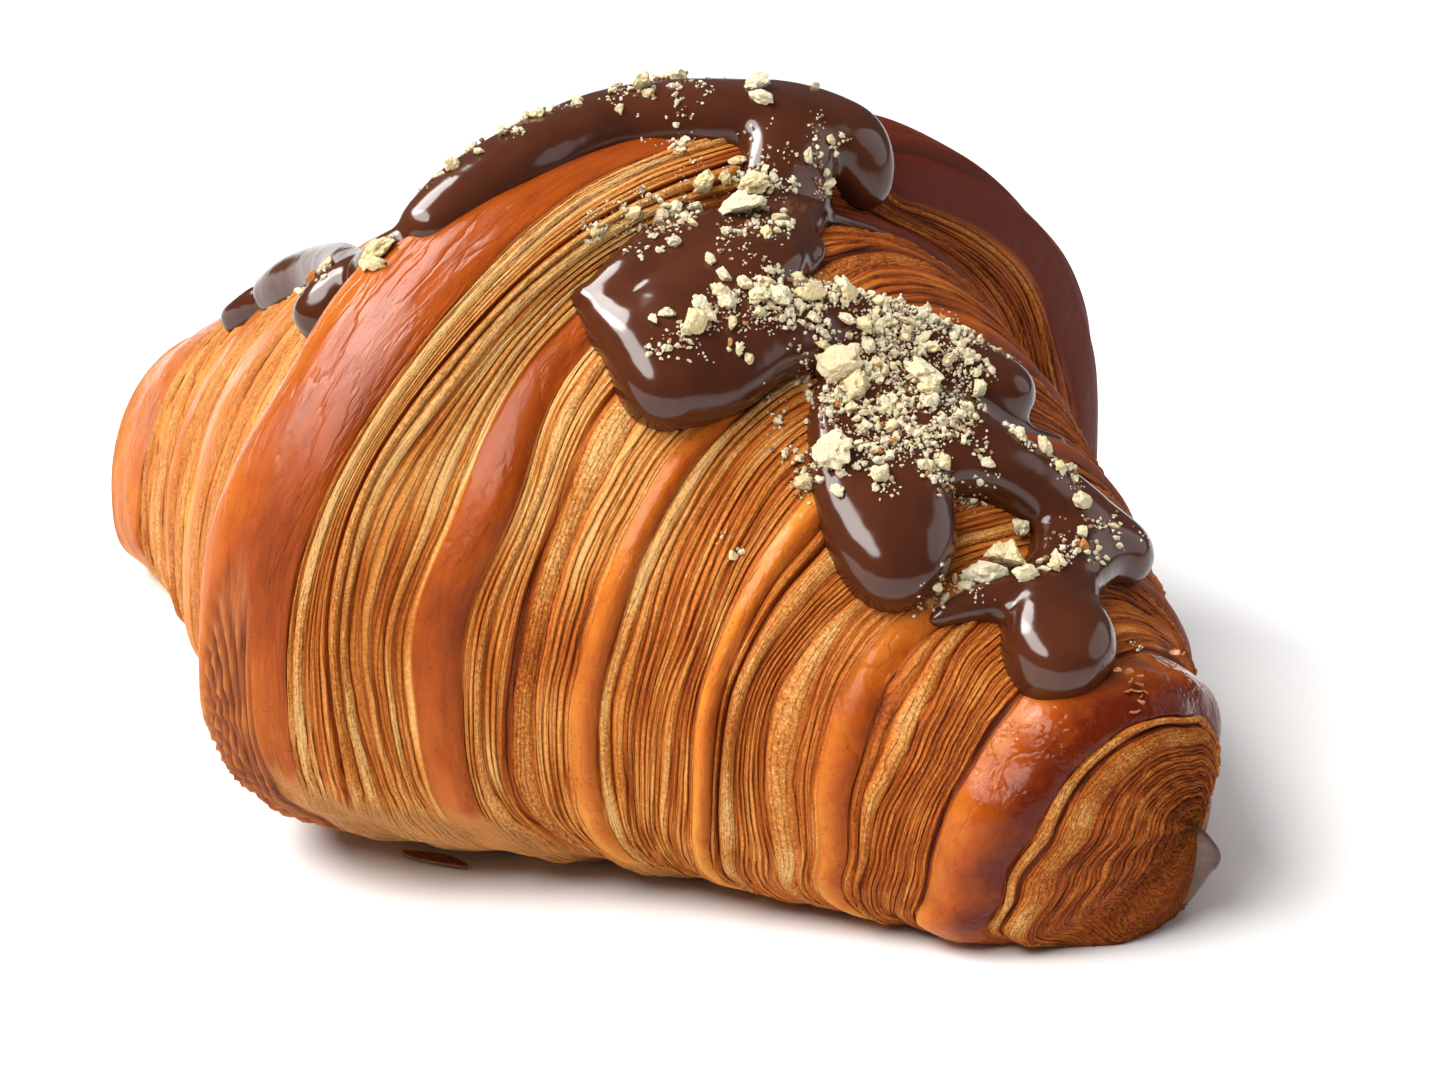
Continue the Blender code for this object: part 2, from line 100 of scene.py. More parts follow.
# The turns of dough from the far end to the near tip: where each starts and ends. A smooth skin has its rise
# and how dark it is at its far and near edge. A band of cut layers lists its strands and their widths:
# ropes and ridges of pale crumb, fine brown lines, rough open crumb and dark gaps.
TURNS = (
    ("skin", -71.0, -62.5, 0.6, 0.3, 0.4),
    ("layers", -62.5, -49.0, "rope 3.6, fine 1.2, ridge 2.4, rope 3.4, fine 1.4, ridge 1.6"),
    ("skin", -49.0, -44.0, 0.5, 0.1, 0.4),
    ("layers", -44.0, -34.0, "rope 3.2, ridge 2.0, fine 1.2, rope 2.6, fine 1.0"),
    ("skin", -34.0, -29.0, 0.5, 0.1, 0.3),
    ("layers", -29.0, -10.8,
     "rope 3.4, fine 1.3, ridge 2.2, rope 3.6, ridge 1.8, rope 3.4, fine 1.3, gap .5"),
    ("skin", -10.8, 8.9, 1.4, 0.1, 0.7),
    ("layers", 8.9, 19.9,
     "ridge .9, rope 1.5, fine 2.1, gap .5, rope 1.2, rope 1.2, fine 1.7, ridge 1.0, fine .9"),
    ("skin", 19.9, 23.4, 0.8, 0.6, 0.75),
    ("layers", 23.4, 32.6, "fine 1.0, rope 1.4, fine 1.6, gap .5, crumb 2.3, fine 2.4"),
    ("skin", 32.6, 34.6, 0.8, 0.3, 0.6),
    ("layers", 34.6, 42.7, "rope 1.0, ridge .8, ridge .9, fine 2.5, ridge .8, fine 2.1"),
    ("skin", 42.7, 44.9, 0.7, 0.1, 0.55),
    ("layers", 44.9, 54.8, "ridge .7, gap .3, rope 2.3, fine 2.9, rope 1.6, fine 1.8"),
    ("skin", 54.8, 57.2, 0.7, 0.3, 0.6),
    ("layers", 57.2, 65.3, "ridge .8, rope 1.2, fine 5.6, gap .5"),
    ("skin", 65.3, 71.6, 2.4, 0.4, 1.05),
    ("layers", 71.6, 73.0, "rope 1.1, gap .4"),
)
# The ends close in a cone of layers: its strands with their widths on the way to the apex.
CONE = "rope 2.5, fine 1.0, ridge .9, fine 1.0, ridge .9, fine 1.0, ridge .9, fine 1.0, ridge .9, flat 3.9"
CONE_RADIUS = 14.0
# The one row between the far cone and the first turn.
FAR_ROW = -72.6
LINE_WIDTHS = {"fine": 0.52, "flat": 1.05}

# Rows across one strand: place across it, rise, tone from cream 0 to dark 1, and how crumbly it is.
# The tone is darker where a row lies lower, partly the dough's own brown and partly painted shade in the
# grooves; a gap is a hollow darkened the same way.
STRAND_ROWS = {
    "rope": (
        (0.0, -0.32, 0.56, 0.3), (0.12, 0.05, 0.34, 0.8), (0.32, 0.36, 0.22, 1.3), (0.58, 0.42, 0.18, 1.3),
        (0.82, 0.22, 0.3, 1.0),
    ),
    "ridge": (
        (0.0, -0.28, 0.58, 0.2), (0.25, 0.08, 0.38, 0.6), (0.52, 0.26, 0.28, 0.9), (0.78, 0.12, 0.36, 0.6),
    ),
    "fine": (
        (0.0, -0.18, 0.6, 0.2), (0.22, -0.06, 0.46, 0.4), (0.55, 0.05, 0.38, 0.5), (0.85, 0.1, 0.32, 0.5),
    ),
    "flat": ((0.0, -0.25, 0.7, 0.4), (0.2, 0.0, 0.54, 0.8), (0.5, 0.1, 0.42, 1.2), (0.8, 0.05, 0.5, 1.0)),
    "crumb": (
        (0.0, -0.5, 0.85, 0.2), (0.12, -0.28, 0.55, 1.0), (0.3, -0.15, 0.42, 1.5), (0.5, -0.1, 0.38, 1.5),
        (0.7, -0.15, 0.42, 1.5), (0.88, -0.3, 0.55, 1.0),
    ),
    "gap": ((0.0, -0.4, 0.7, 0.0), (0.5, -0.7, 0.85, 0.0)),
}
SKIN_ROW = 0.4
AROUND = 380
# How far the edges of the strands waver, how much their widths change on their way round, how ragged their
# edges are, and over how many millimetres the waver fades towards the ends.
WAVER = 0.5
SWELL = 0.36
CONE_SWELL = 0.05
RAGGED = 0.02
WAVER_FADE = 6.0

# A window of angles is given as its start, its rise, its end and its fall, in degrees.
# On the back the widest turn wraps over its near edge, and its skin ends there instead; a painted shadow line
# runs along the groove before its lip.
WRAP_START = -10.8
WRAP_FROM = 8.9
WRAP_TO = 16.6
WRAP_END = 19.9
WRAP_WINDOW = (-60.0, 25.0, 84.0, 25.0)
WRAP_REACH = (-12.0, 20.0)
WRAP_SHADOW = 13.5
WRAP_GROOVE = 13.6
WRAP_LIP = 14.6
# How far edges swing towards the tip on the upper front: shift, angle and spread, place and spread.
EDGE_SHIFTS = ((2.3, 128, 26, 9, 7), (2.1, 148, 16, 21.5, 5))

# The loose end of the dough strip on the front, a leaf that lies on the widest turn.
LEAF_ANGLE = (163.0, 171.0, 182.0, 197.0, 215.0, 235.0)
LEAF_NEAR = (3.0, 4.6, 5.0, 5.8, 5.2, 4.0)
LEAF_FAR = (2.4, 0.0, -1.6, -5.0, -9.0, -11.0)
LEAF_RISE = 1.1
LEAF_RIBS = 9

# The pale crumpled dough under the front: where it starts, as an angle for each station, and where it ends.
CRUMPLE_AT = (-14.0, -6.0, 6.0, 16.0, 20.0, 28.0, 34.0, 40.0)
CRUMPLE_ANGLE = (216.0, 203.0, 196.0, 192.0, 199.0, 207.0, 216.0, 232.0)
CRUMPLE_END = 262.0

# The thin tongue of dough at the near tip: its edge at the last fold and its free edge, downwards.
TONGUE_FOLD = ((76.4, 4.8, 11.4), (75.4, 4.8, 9.2), (74.8, 4.8, 6.8), (74.3, 5.2, 4.6), (74.0, 5.6, 2.4))
TONGUE_EDGE = ((76.9, 5.6, 11.9), (78.2, 6.6, 10.5), (78.9, 7.4, 8.7), (77.3, 7.5, 5.6), (75.2, 7.3, 2.2))
TONGUE_THICK = 0.35
TONGUE_RIM = 0.5
TONGUE_GRID = (14, 28)

# Where the near tip is tucked in under its back, and how much its front foot is filled out.
TIP_TUCK = 2.1
TUCK_FROM = 295.0
TIP_FOOT = 0.3
FOOT_RAGGED = 0.3
# Below the front the strands lean away from the tip by this much, and above it the last ones lean to it.
TIP_LEAN = 2.6
UNDER_FRONT = (180, 36, 290, 30)
TIP_SWEEP = 1.5
OVER_TIP = (50, 25, 182, 24)
# Round the near apex the arcs sweep on down to the floor.
ARC_SWEEP = 10.0
ARC_WINDOW = (200, 85, 335, 30)
# The last skin stands out above this angle and falls back below it.
BULGE = 1.9
BULGE_ANGLE = 147.0
# Hollows of the surface: depth, station and spread, angle and spread.
FRONT_HOLLOW = (1.5, -4, 8, 143, 11)
HEEL_HOLLOW = (1.0, 73.3, 4, 238, 22)
# How rough the crumb is, and how high a section is where its ridges have their full rise.
GRIT = 0.17
FULL_RISE = 45.0
# The upper front, which catches the light and where the cut layers are paler, partly as painted light; the
# creases on it; and where the back starts.
UPPER_FRONT = (85, 20, 172, 30)
CREASE_WINDOW = (96, 10, 160, 25)
# From here round the back the colours are darkened as painted shade.
SHADED_BACK_FROM = -70.0
# The tones that the cut layers tend to low down and on the far wing.
LOW_TONE = 0.45
FAR_TONE = 0.34

# Poured chocolate: rows of station, angle, half width and thickness along each stroke.
STROKES = {
    "crest rope": (
        (0.2, 117.5, 3.4, 3.6), (0.2, 112, 4.2, 4.4), (0.5, 106, 4.5, 4.7), (0.2, 100, 4.6, 4.7),
        (0.8, 93, 4.9, 4.9), (3.6, 88, 5.5, 5.0), (6.6, 84, 5.9, 4.9), (9.8, 79.5, 6.0, 4.8),
        (12.4, 74.5, 5.4, 4.6), (14.9, 71.5, 4.5, 4.4), (16.2, 69.5, 3.6, 3.8),
    ),
    "neck": (
        (13.5, 81, 5.6, 4.0), (16.5, 82, 5.8, 3.8), (19.2, 83.5, 5.6, 3.6), (22.0, 87, 5.4, 3.4),
        (24.8, 92, 5.4, 3.2),
    ),
    "large lobe": (
        (25.6, 95, 5.8, 3.4), (26.2, 103, 6.2, 3.4), (26.8, 110, 6.4, 3.8), (27.4, 115, 6.4, 4.4),
        (28.2, 119, 6.0, 5.0), (28.8, 121.5, 5.2, 5.2),
    ),
    "large lobe top": (
        (22.6, 93, 5.0, 3.4), (21.8, 99, 5.2, 3.6), (22.0, 104, 5.2, 3.8), (22.1, 109, 4.6, 3.8),
        (21.0, 113, 2.8, 3.0), (19.3, 115.5, 1.4, 1.8),
    ),
    "large lobe side": (
        (20.6, 114.5, 2.2, 2.6), (23.4, 117, 3.4, 3.6), (26.2, 119.5, 4.2, 4.6), (28.4, 121.5, 5.0, 5.0),
    ),
    "large lobe underside": (
        (28.8, 121, 5.4, 4.8), (29.8, 114, 6.2, 4.4), (30.2, 106, 5.6, 4.0), (31.2, 99, 5.0, 3.6),
        (32.2, 92, 4.8, 3.4), (33.6, 87, 4.6, 3.4),
    ),
    "right arm": ((33.6, 87, 4.6, 3.4), (35.5, 80, 4.7, 3.4), (37.8, 74, 4.6, 3.8), (39.8, 68, 3.9, 4.4)),
    "trunk": (
        (35.6, 90, 4.8, 3.2), (38.6, 93, 6.0, 3.2), (42.2, 99.5, 7.4, 3.4), (45.4, 106, 7.4, 4.0),
        (48.2, 111, 6.8, 4.8), (49.9, 114.5, 5.6, 5.4),
    ),
    "near arm": (
        (41.0, 95, 6.6, 3.6), (43.4, 89.5, 6.4, 4.4), (45.6, 84, 4.8, 4.6), (48.0, 77, 4.4, 4.4),
        (51.5, 69, 4.8, 4.2), (53.8, 64, 4.9, 4.2), (55.0, 58, 4.0, 4.4),
    ),
    "near neck": ((54.2, 67, 5.0, 4.0), (56.4, 75, 4.8, 3.8), (58.8, 82, 4.2, 3.8), (60.8, 88, 4.6, 4.2)),
    "last drip": (
        (60.6, 88, 4.6, 4.0), (62.6, 93, 5.6, 4.8), (63.8, 96.5, 6.0, 5.4), (64.6, 100, 5.4, 5.4),
    ),
    "curl": (
        (58.6, 84, 3.8, 3.4), (58.8, 90, 3.4, 3.0), (58.3, 98, 2.6, 2.6), (57.2, 107, 1.9, 2.0),
        (56.2, 117, 1.0, 1.4),
    ),
    "arm trail": ((41.6, 80, 2.8, 2.2), (42.8, 72, 1.7, 1.4), (43.4, 64, 1.1, 1.0), (43.2, 54, 0.8, 0.9)),
    "neck tail": ((24.6, 88, 3.6, 2.6), (26.8, 86, 1.5, 1.6), (28.2, 90, 0.9, 1.1)),
    "neck smear": ((20.0, 80, 2.8, 1.8), (21.8, 73, 1.2, 1.0), (23.4, 66, 0.8, 0.8)),
    "far strip": (
        (-44.5, 113.5, 2.8, 3.4), (-41.0, 112.5, 3.2, 3.8), (-36.0, 112, 3.1, 3.5), (-30.0, 114, 2.8, 3.1),
        (-22.0, 118, 2.5, 2.8), (-14.0, 121.5, 2.4, 2.6), (-8.0, 123, 2.4, 2.4), (-2.0, 122, 2.4, 2.4),
    ),
    "far bit": ((-51.0, 118, 1.9, 2.6), (-48.0, 114, 2.2, 2.8)),
    "second far lobe": (
        (-12.0, 131, 2.8, 3.8), (-11.8, 128.5, 3.2, 4.0), (-11.4, 125.5, 3.0, 3.6),
        (-10.6, 122.5, 2.6, 2.8), (-8.6, 121.5, 2.2, 2.4),
    ),
}
DAB_STEP = 0.6
CHOCOLATE_VOXEL = 0.44
CHOCOLATE_SMOOTHING = 26
CHOCOLATE_SHOULDER = 2.5

# Thin films of chocolate on the dough: station, angle and spread.
FILMS = (
    (68.6, 92, 2.2), (67.6, 78, 2.4), (66.4, 64, 2.4), (69.8, 80, 1.6), (64.2, 52, 1.6), (26.5, 87, 1.4),
)

# Small dark marks on the dough: a burnt spot, and the thin end of a layer above the leaf.
MARKS = (
    (43.8, 154, 0.4), (4.4, 161, 0.3), (4.5, 163, 0.4), (4.7, 165, 0.45), (4.9, 167, 0.5), (5.0, 169, 0.5),
)

# Loose flakes of crust: the one on the floor, and shards with their station, angle and length.
FLOOR_FLAKE = (10.4, -39.0, 0.25)
FLOOR_FLAKE_SIZE = (8.0, 2.0)
SHARDS = (
    (71.0, 91, 1.6), (70.6, 89, 1.2), (71.4, 90, 1.1), (70.2, 91, 1.4), (70.8, 94, 1.0), (71.8, 92, 1.3),
    (72.4, 96, 1.5), (69.4, 90, 1.2), (70.0, 87, 0.9), (71.2, 88, 0.9), (69.0, 93, 1.0), (67.5, 65, 1.6),
    (66.8, 58, 1.2),
)

# Chopped hazelnut: station, angle and length of the chunks that can be told apart.
CHUNKS = (
    (-0.2, 84, 5.4), (3.5, 90, 4.0), (1.2, 82, 2.8), (9.0, 90, 2.2), (9.5, 82, 3.8), (10.8, 83, 3.0),
    (21.8, 93, 5.6), (16.2, 88, 4.0), (15.0, 93, 3.4), (14.0, 88, 2.4), (15.0, 90, 2.0), (15.2, 82, 2.0),
    (17.5, 78, 2.1), (15.5, 103, 3.0), (16.2, 100, 2.8), (16.0, 98, 2.4), (17.0, 96, 2.2), (10.2, 75, 1.5),
    (22.2, 90, 2.2), (25.0, 90, 2.2), (26.0, 94, 1.8), (0.5, 96, 2.4), (-0.2, 105, 2.4), (-0.2, 112, 2.6),
    (0.6, 109, 1.6), (22.5, 104, 2.0), (27.0, 105, 2.2), (25.8, 104, 1.9), (26.8, 116, 2.0),
    (26.5, 118, 1.8), (27.5, 112, 2.8), (28.0, 115, 4.0), (27.5, 108, 2.4), (28.2, 108, 2.8),
    (28.0, 104, 2.2), (28.8, 104, 3.0), (28.5, 101, 2.2), (29.5, 101, 3.4), (29.2, 110, 2.2),
    (28.2, 112, 2.2), (30.2, 96, 3.8), (29.2, 92, 2.8), (29.0, 95, 2.0), (30.5, 90, 3.0), (31.0, 90, 2.8),
    (31.5, 98, 2.2), (32.5, 93, 2.2), (32.0, 86, 2.0), (33.2, 91, 3.0), (36.2, 98, 5.6), (38.8, 99, 4.4),
    (39.5, 88, 5.6), (41.0, 89, 2.8), (42.0, 90, 2.8), (41.5, 110, 5.2), (41.8, 116, 3.4), (44.8, 108, 3.0),
    (45.8, 95, 2.4), (36.0, 66, 2.8), (39.8, 102, 2.2), (40.8, 77, 3.0), (43.8, 115, 2.0), (35.2, 92, 2.2),
    (36.8, 82, 2.2), (38.0, 80, 2.2), (47.0, 74, 2.9), (51.8, 72, 2.9), (52.0, 84, 3.0), (47.0, 88, 1.8),
    (45.8, 78, 2.0), (48.8, 70, 2.0), (55.5, 76, 2.0), (57.2, 78, 1.8), (55.2, 92, 7.0), (56.2, 99, 4.8),
    (58.0, 94, 2.8), (55.5, 106, 2.2), (55.0, 115, 1.8), (58.5, 88, 2.0), (55.5, 112, 1.5), (58.5, 86, 1.9),
    (-0.8, 124, 5.2), (0.5, 126, 2.8), (-16.2, 124, 3.2), (-11.6, 125, 2.4), (-11.9, 128, 2.0),
    (-12.4, 130, 1.8),
)
# Crumbs of hazelnut: station, angle, spread and number of each cluster.
CRUMBS = (
    (-1.8, 115, 0.9, 8), (-2.0, 108, 1.3, 12), (-0.8, 104, 1.3, 14), (-1.2, 98, 1.8, 12),
    (4.0, 93, 1.1, 14), (4.2, 86, 2.5, 50), (8.5, 90, 1.6, 24), (13.2, 80, 1.8, 12), (14.5, 87, 1.6, 12),
    (15.2, 91, 1.6, 16), (16.8, 86, 2.0, 40), (14.5, 78, 1.6, 10), (23.2, 92, 1.8, 26),
    (15.5, 101, 1.3, 26), (16.5, 97, 1.8, 40), (15.0, 108, 1.1, 18), (16.8, 105, 1.6, 30),
    (25.0, 98, 1.1, 12), (27.2, 100, 1.3, 16), (26.5, 94, 2.2, 16), (27.8, 120, 0.9, 12),
    (28.2, 118, 0.9, 14), (28.5, 113, 1.6, 30), (29.2, 108, 2.0, 50), (29.5, 102, 2.2, 70),
    (30.5, 100, 2.0, 50), (30.0, 94, 1.8, 50), (30.8, 90, 1.8, 60), (32.2, 95, 1.8, 24),
    (33.2, 88, 2.5, 70), (33.2, 78, 2.2, 110), (34.5, 74, 1.8, 60), (35.2, 84, 2.0, 90),
    (36.0, 88, 1.6, 60), (37.2, 80, 1.8, 50), (35.0, 68, 1.6, 40), (36.2, 66, 1.1, 24), (36.8, 93, 1.8, 60),
    (38.8, 92, 2.7, 90), (40.0, 78, 1.6, 60), (40.5, 88, 1.6, 50), (39.2, 102, 1.8, 70),
    (41.8, 96, 2.2, 130), (43.0, 100, 2.0, 100), (44.0, 91, 1.8, 80), (42.5, 104, 1.8, 50),
    (43.2, 86, 1.6, 40), (45.8, 96, 2.0, 50), (47.5, 90, 1.6, 30), (41.5, 112, 1.3, 30),
    (41.2, 116, 0.9, 16), (45.8, 78, 1.1, 20), (49.0, 70, 1.6, 20), (55.5, 106, 0.9, 16),
    (55.0, 114, 0.9, 14), (57.5, 86, 1.3, 16), (56.5, 78, 1.6, 14), (54.8, 74, 1.1, 12),
    (54.0, 64, 1.6, 12), (45.5, 108, 0.9, 10), (65.0, 70, 0.3, 3), (34.4, 102, 0.9, 12),
    (36.5, 111, 1.6, 10), (40.0, 134, 0.6, 4), (-18.2, 124, 1.1, 14), (-17.2, 128, 0.7, 8),
    (-11.8, 127, 1.2, 14), (17.0, 79, 1.1, 14),
)
CLUMP = 14
TOASTED = 0.03
COATED = 0.22
# How far above the dough a nut starts its fall, and how far it may fall.
DROP_FROM = 14.0
DROP_REACH = 22.0
# How many shapes the lumps of hazelnut are picked from.
NUT_SHAPES = 24

# The photo's camera, and its frame in pixels.
PHOTO_WIDTH = 1440
FOCAL_PIXELS = 5037
SENSOR = 36.0
CAMERA_AT = (372.0, -356.9, 234.0)
CAMERA_DOWN = 22.306
CAMERA_TURN = 45.094
# The point that the lights aim at, in metres, and their tints.
LIGHT_AIM = (0.0, 0.0, 0.03)
WARM = (1.0, 0.985, 0.96)
COOL = (0.98, 0.98, 1.0)


def smooth_through(x, at, values):
    """A curve through the given points that never swings past them."""
    at = np.asarray(at, float)
    values = np.asarray(values, float)
    step = np.diff(at)
    rate = np.diff(values) / step
    slope = np.zeros(len(at))
    same_way = rate[:-1] * rate[1:] > 0
    first = 2 * step[1:] + step[:-1]
    second = step[1:] + 2 * step[:-1]
    safe_before = np.where(same_way, rate[:-1], 1.0)
    safe_after = np.where(same_way, rate[1:], 1.0)
    slope[1:-1] = np.where(same_way, (first + second) / (first / safe_before + second / safe_after), 0.0)
    slope[0] = rate[0]
    slope[-1] = rate[-1]
    x = np.clip(x, at[0], at[-1])
    i = np.clip(np.searchsorted(at, x, side="right") - 1, 0, len(step) - 1)
    t = (x - at[i]) / step[i]
    start = (1 + 2 * t) * (1 - t) ** 2 * values[i] + t * (1 - t) ** 2 * step[i] * slope[i]
    end = t * t * (3 - 2 * t) * values[i + 1] + t * t * (t - 1) * step[i] * slope[i + 1]
    return start + end


def bell(value, middle, spread):
    return np.exp(-(((value - middle) / spread) ** 2))


def signed_power(value, power):
    return np.sign(value) * np.abs(value) ** power


def eased(value):
    """0 up to 0, 1 from 1 on, and smooth between."""
    t = np.clip(value, 0, 1)
    return t * t * (3 - 2 * t)


def past(value, start, over):
    """0 up to the start, 1 from start + over on."""
    return eased((value - start) / over)


def before(value, end, over):
    """1 up to end - over, 0 from the end on."""
    return eased((end - value) / over)


def window(value, start, rise, end, fall):
    """0 outside of start and end, and eased to 1 over rise and fall."""
    return past(value, start, rise) * before(value, end, fall)


def run_through(points):
    """Lengths along a line of points, from 0 at its first."""
    return np.concatenate([[0], np.cumsum(np.linalg.norm(np.diff(points, axis=0), axis=1))])


def wandered(station, angle):
    """Lets the edge of each turn of dough wander a little on its way round."""
    fade = np.clip((END - np.abs(station)) / 12, 0, 1)
    wave = np.sin(2 * angle + 0.35 * station) + 0.6 * np.sin(3 * angle - 0.21 * station + 1)
    return station + WANDER * fade * wave


def cap_keep(station):
    """How much of the last section is left: 1 up to END, falling to 0 at the apex."""
    return np.cos(np.clip(np.abs(station) - END, 0, 1) * math.pi / 2) ** CAP_POWER


def plain_form(station, angle):
    """Points of the plain form; a station past END closes towards the apex, END + 1 being the apex."""
    inner = np.clip(wandered(station, angle), -END, END)
    across = np.cos(angle)
    up = np.sin(angle)
    x = inner + smooth_through(inner, LEAN_AT, BACK_LEAN) * across
    x = x + smooth_through(inner, LEAN_AT, CREST_LEAN) * np.clip(up, -0.2, 1)
    front = smooth_through(inner, SECTION_AT, FRONT_WIDTH)
    back = smooth_through(inner, SECTION_AT, BACK_WIDTH)
    height = smooth_through(inner, SECTION_AT, HEIGHT) + FLAT
    middle = WIDEST_AT * height
    half = np.where(across > 0, back, front)
    above = up >= 0
    y = half * np.where(above, signed_power(across, UPPER_POWER), signed_power(across, LOWER_POWER))
    rise = (height - middle) * np.abs(up) ** UPPER_POWER
    fall = middle * np.abs(up) ** LOWER_POWER
    z = middle + np.where(above, rise, -fall) - FLAT
    keep = cap_keep(station)
    apex_x, apex_y, apex_z = (np.where(station > 0, n, f) for n, f in zip(NEAR_APEX, FAR_APEX))
    x = apex_x + (x - apex_x) * keep**2
    y = apex_y + (y - apex_y) * keep
    return np.stack([x, y, apex_z + (z - apex_z) * keep], -1)


def outward(station, angle):
    """Unit normals of the plain form, from points a little ahead, behind and to both sides."""
    ahead = plain_form(np.minimum(station + NORMAL_REACH, LAST_STATION), angle)
    behind = plain_form(np.maximum(station - NORMAL_REACH, -LAST_STATION), angle)
    around = plain_form(station, angle + NORMAL_TURN) - plain_form(station, angle - NORMAL_TURN)
    normal = np.cross(around, ahead - behind)
    return normal / np.linalg.norm(normal, axis=-1, keepdims=True)


def spot(station, degrees):
    """One point of the plain form and its normal."""
    at = np.array([float(station)]), np.radians([degrees])
    return plain_form(*at)[0], outward(*at)[0]


def even_angles(count):
    """Angles that stand the same distance apart round a middle section, so no face is long."""
    fine = np.linspace(0, 2 * math.pi, 8 * 360 + 1)
    run = run_through(plain_form(np.full(len(fine), 5.0), fine))
    return np.interp(np.arange(count) / count * run[-1], run, fine)


def ripple(seed, station, angle, along, around, terms=6):
    """A smooth random wave of about -1 to 1 over the pastry, which closes on itself round the roll."""
    draw = random.Random(seed)
    total = 0.0 * station + 0.0 * angle
    for _ in range(terms):
        pace = draw.uniform(-along, along)
        turns = draw.randint(-around, around)
        total = total + np.sin(pace * station + turns * angle + draw.uniform(0, 2 * math.pi))
    return total / math.sqrt(terms)


def linked(name, data):
    made = bpy.data.objects.new(name, data)
    bpy.context.scene.collection.objects.link(made)
    return made


def mesh_object(name, points, faces):
    mesh = bpy.data.meshes.new(name)
    mesh.from_pydata(((np.asarray(points) + CENTRING) * MM).tolist(), [], faces)
    mesh.update()
    return linked(name, mesh)


def lumps_object(name, lumps, ball_faces):
    """One mesh of many lumps, each of them a ball that is pushed into shape."""
    faces = [ball_faces + len(lumps[0]) * i for i in range(len(lumps))]
    return mesh_object(name, np.vstack(lumps), np.vstack(faces).tolist())


def set_attribute(made, name, values):
    layer = made.data.attributes.new(name, "FLOAT", "POINT")
    layer.data.foreach_set("value", np.asarray(values, np.float32).ravel())


class Rows:
    """The rows of points along the roll, each with its station at every angle and its looks."""

    def __init__(self, angles):
        self.angles = angles
        self.station = []
        self.rise = []
        self.looks = []

    def add(self, station, rise, tone, crumb, skin=0.0, bake_and_shade=0.5):
        ones = np.ones(len(self.angles))
        self.station.append(station * ones)
        self.rise.append(rise * ones)
        self.looks.append([value * ones for value in (tone, crumb, skin, bake_and_shade)])

    def add_skin(self, start, end, rise, far_darkness, near_darkness):
        """A smooth turn: crowned, and darker towards its near edge, where it rolls under."""
        count = max(4, round((end - start) / SKIN_ROW))
        for i in range(count):
            u = (i + 0.35) / (count - 0.3)
            crown = 1 - abs(2 * u**1.2 - 1) ** 2.0
            bake_and_shade = far_darkness + (near_darkness - far_darkness) * eased(u * 1.1)
            self.add(start + (end - start) * u, rise * crown, 0.4, 0.0, 1.0, bake_and_shade)

    def add_layers(self, start, end, strands, seed, swelling):
        """A band of cut layers; its strands swell and shrink on their way round the roll."""
        draw = random.Random(seed)
        strands = [strand.split() for strand in strands.split(", ")]
        kinds = [kind for kind, _ in strands]
        widths = np.array([float(width) for _, width in strands])
        swell = np.array([ripple(seed * 50 + i, 0.0, self.angles, 0, 5) for i in range(len(kinds))])
        swell += 0.15 * np.array([ripple(seed * 70 + i, 0.0, self.angles, 0, 16) for i in range(len(kinds))])
        crumbs = np.array([kind == "crumb" for kind in kinds])[:, None]
        swell += crumbs * (2.2 * bell(np.degrees(self.angles), 138, 18) - 0.8)
        share = widths[:, None] * np.exp(swelling * swell)
        share = share * (end - start) / share.sum(axis=0)
        edges = start + np.vstack([0 * share[:1], np.cumsum(share, axis=0)])
        for i in range(1, len(kinds)):
            edges[i] += RAGGED * ripple(seed * 90 + i, 0.0, self.angles, 0, 44)
        for i, kind in enumerate(kinds):
            lines = max(1, round(widths[i] / LINE_WIDTHS.get(kind, widths[i])))
            for line in range(lines):
                strength = draw.uniform(0.75, 1.25)
                shade = draw.uniform(-0.12, 0.12)
                wave = ripple(draw.random(), 0.0, self.angles, 0, 50 if kind == "flat" else 18)
                for u, rise, tone, crumb in STRAND_ROWS[kind]:
                    at = edges[i] + share[i] * (line + u) / lines
                    self.add(at, rise * strength * (1 + 0.4 * wave), tone + shade + 0.1 * wave, crumb)

    def arrays(self):
        looks = np.array(self.looks).transpose(1, 0, 2)
        return np.array(self.station), np.array(self.rise), looks


def pastry_rows(angles):
    """Every row of the pastry from one apex to the other: stations, rises and looks."""
    rows = Rows(angles)
    for number, (kind, start, end, *rest) in enumerate(TURNS):
        if kind == "skin":
            rows.add_skin(start, end, *rest)
        else:
            swelling = CONE_SWELL if number == len(TURNS) - 1 else SWELL
            rows.add_layers(start, end, rest[0], 20 + number, swelling)
    cone = Rows(angles)
    cone.add_layers(0.0, CONE_RADIUS, CONE, 90, CONE_SWELL)
    cone_station, cone_rise, cone_looks = cone.arrays()
    station, rise, looks = rows.arrays()
    cap = station_at(END + cone_station)
    station = np.vstack([-cap[::-1], np.full((1, len(angles)), FAR_ROW), station, cap])
    rise = np.vstack([cone_rise[::-1], np.full((1, len(angles)), 0.2), rise, cone_rise])
    looks = np.concatenate([cone_looks[:, ::-1], cone_looks[:, :1], looks, cone_looks], axis=1)
    return station, rise, looks


def run_along(station):
    """Millimetres along the roll, and over the cone at each end."""
    over = (1 - cap_keep(station)) * CONE_RADIUS / CONE_REACH
    return np.where(np.abs(station) > END, np.sign(station) * (END + over), station)


def station_at(run):
    """The station of a place that is given in millimetres along the roll."""
    left = np.clip(1 - CONE_REACH * (np.abs(run) - END) / CONE_RADIUS, 0.001, 1)
    cap = np.arccos(left ** (1 / CAP_POWER)) * 2 / math.pi
    return np.where(np.abs(run) > END, np.sign(run) * (END + cap), run)


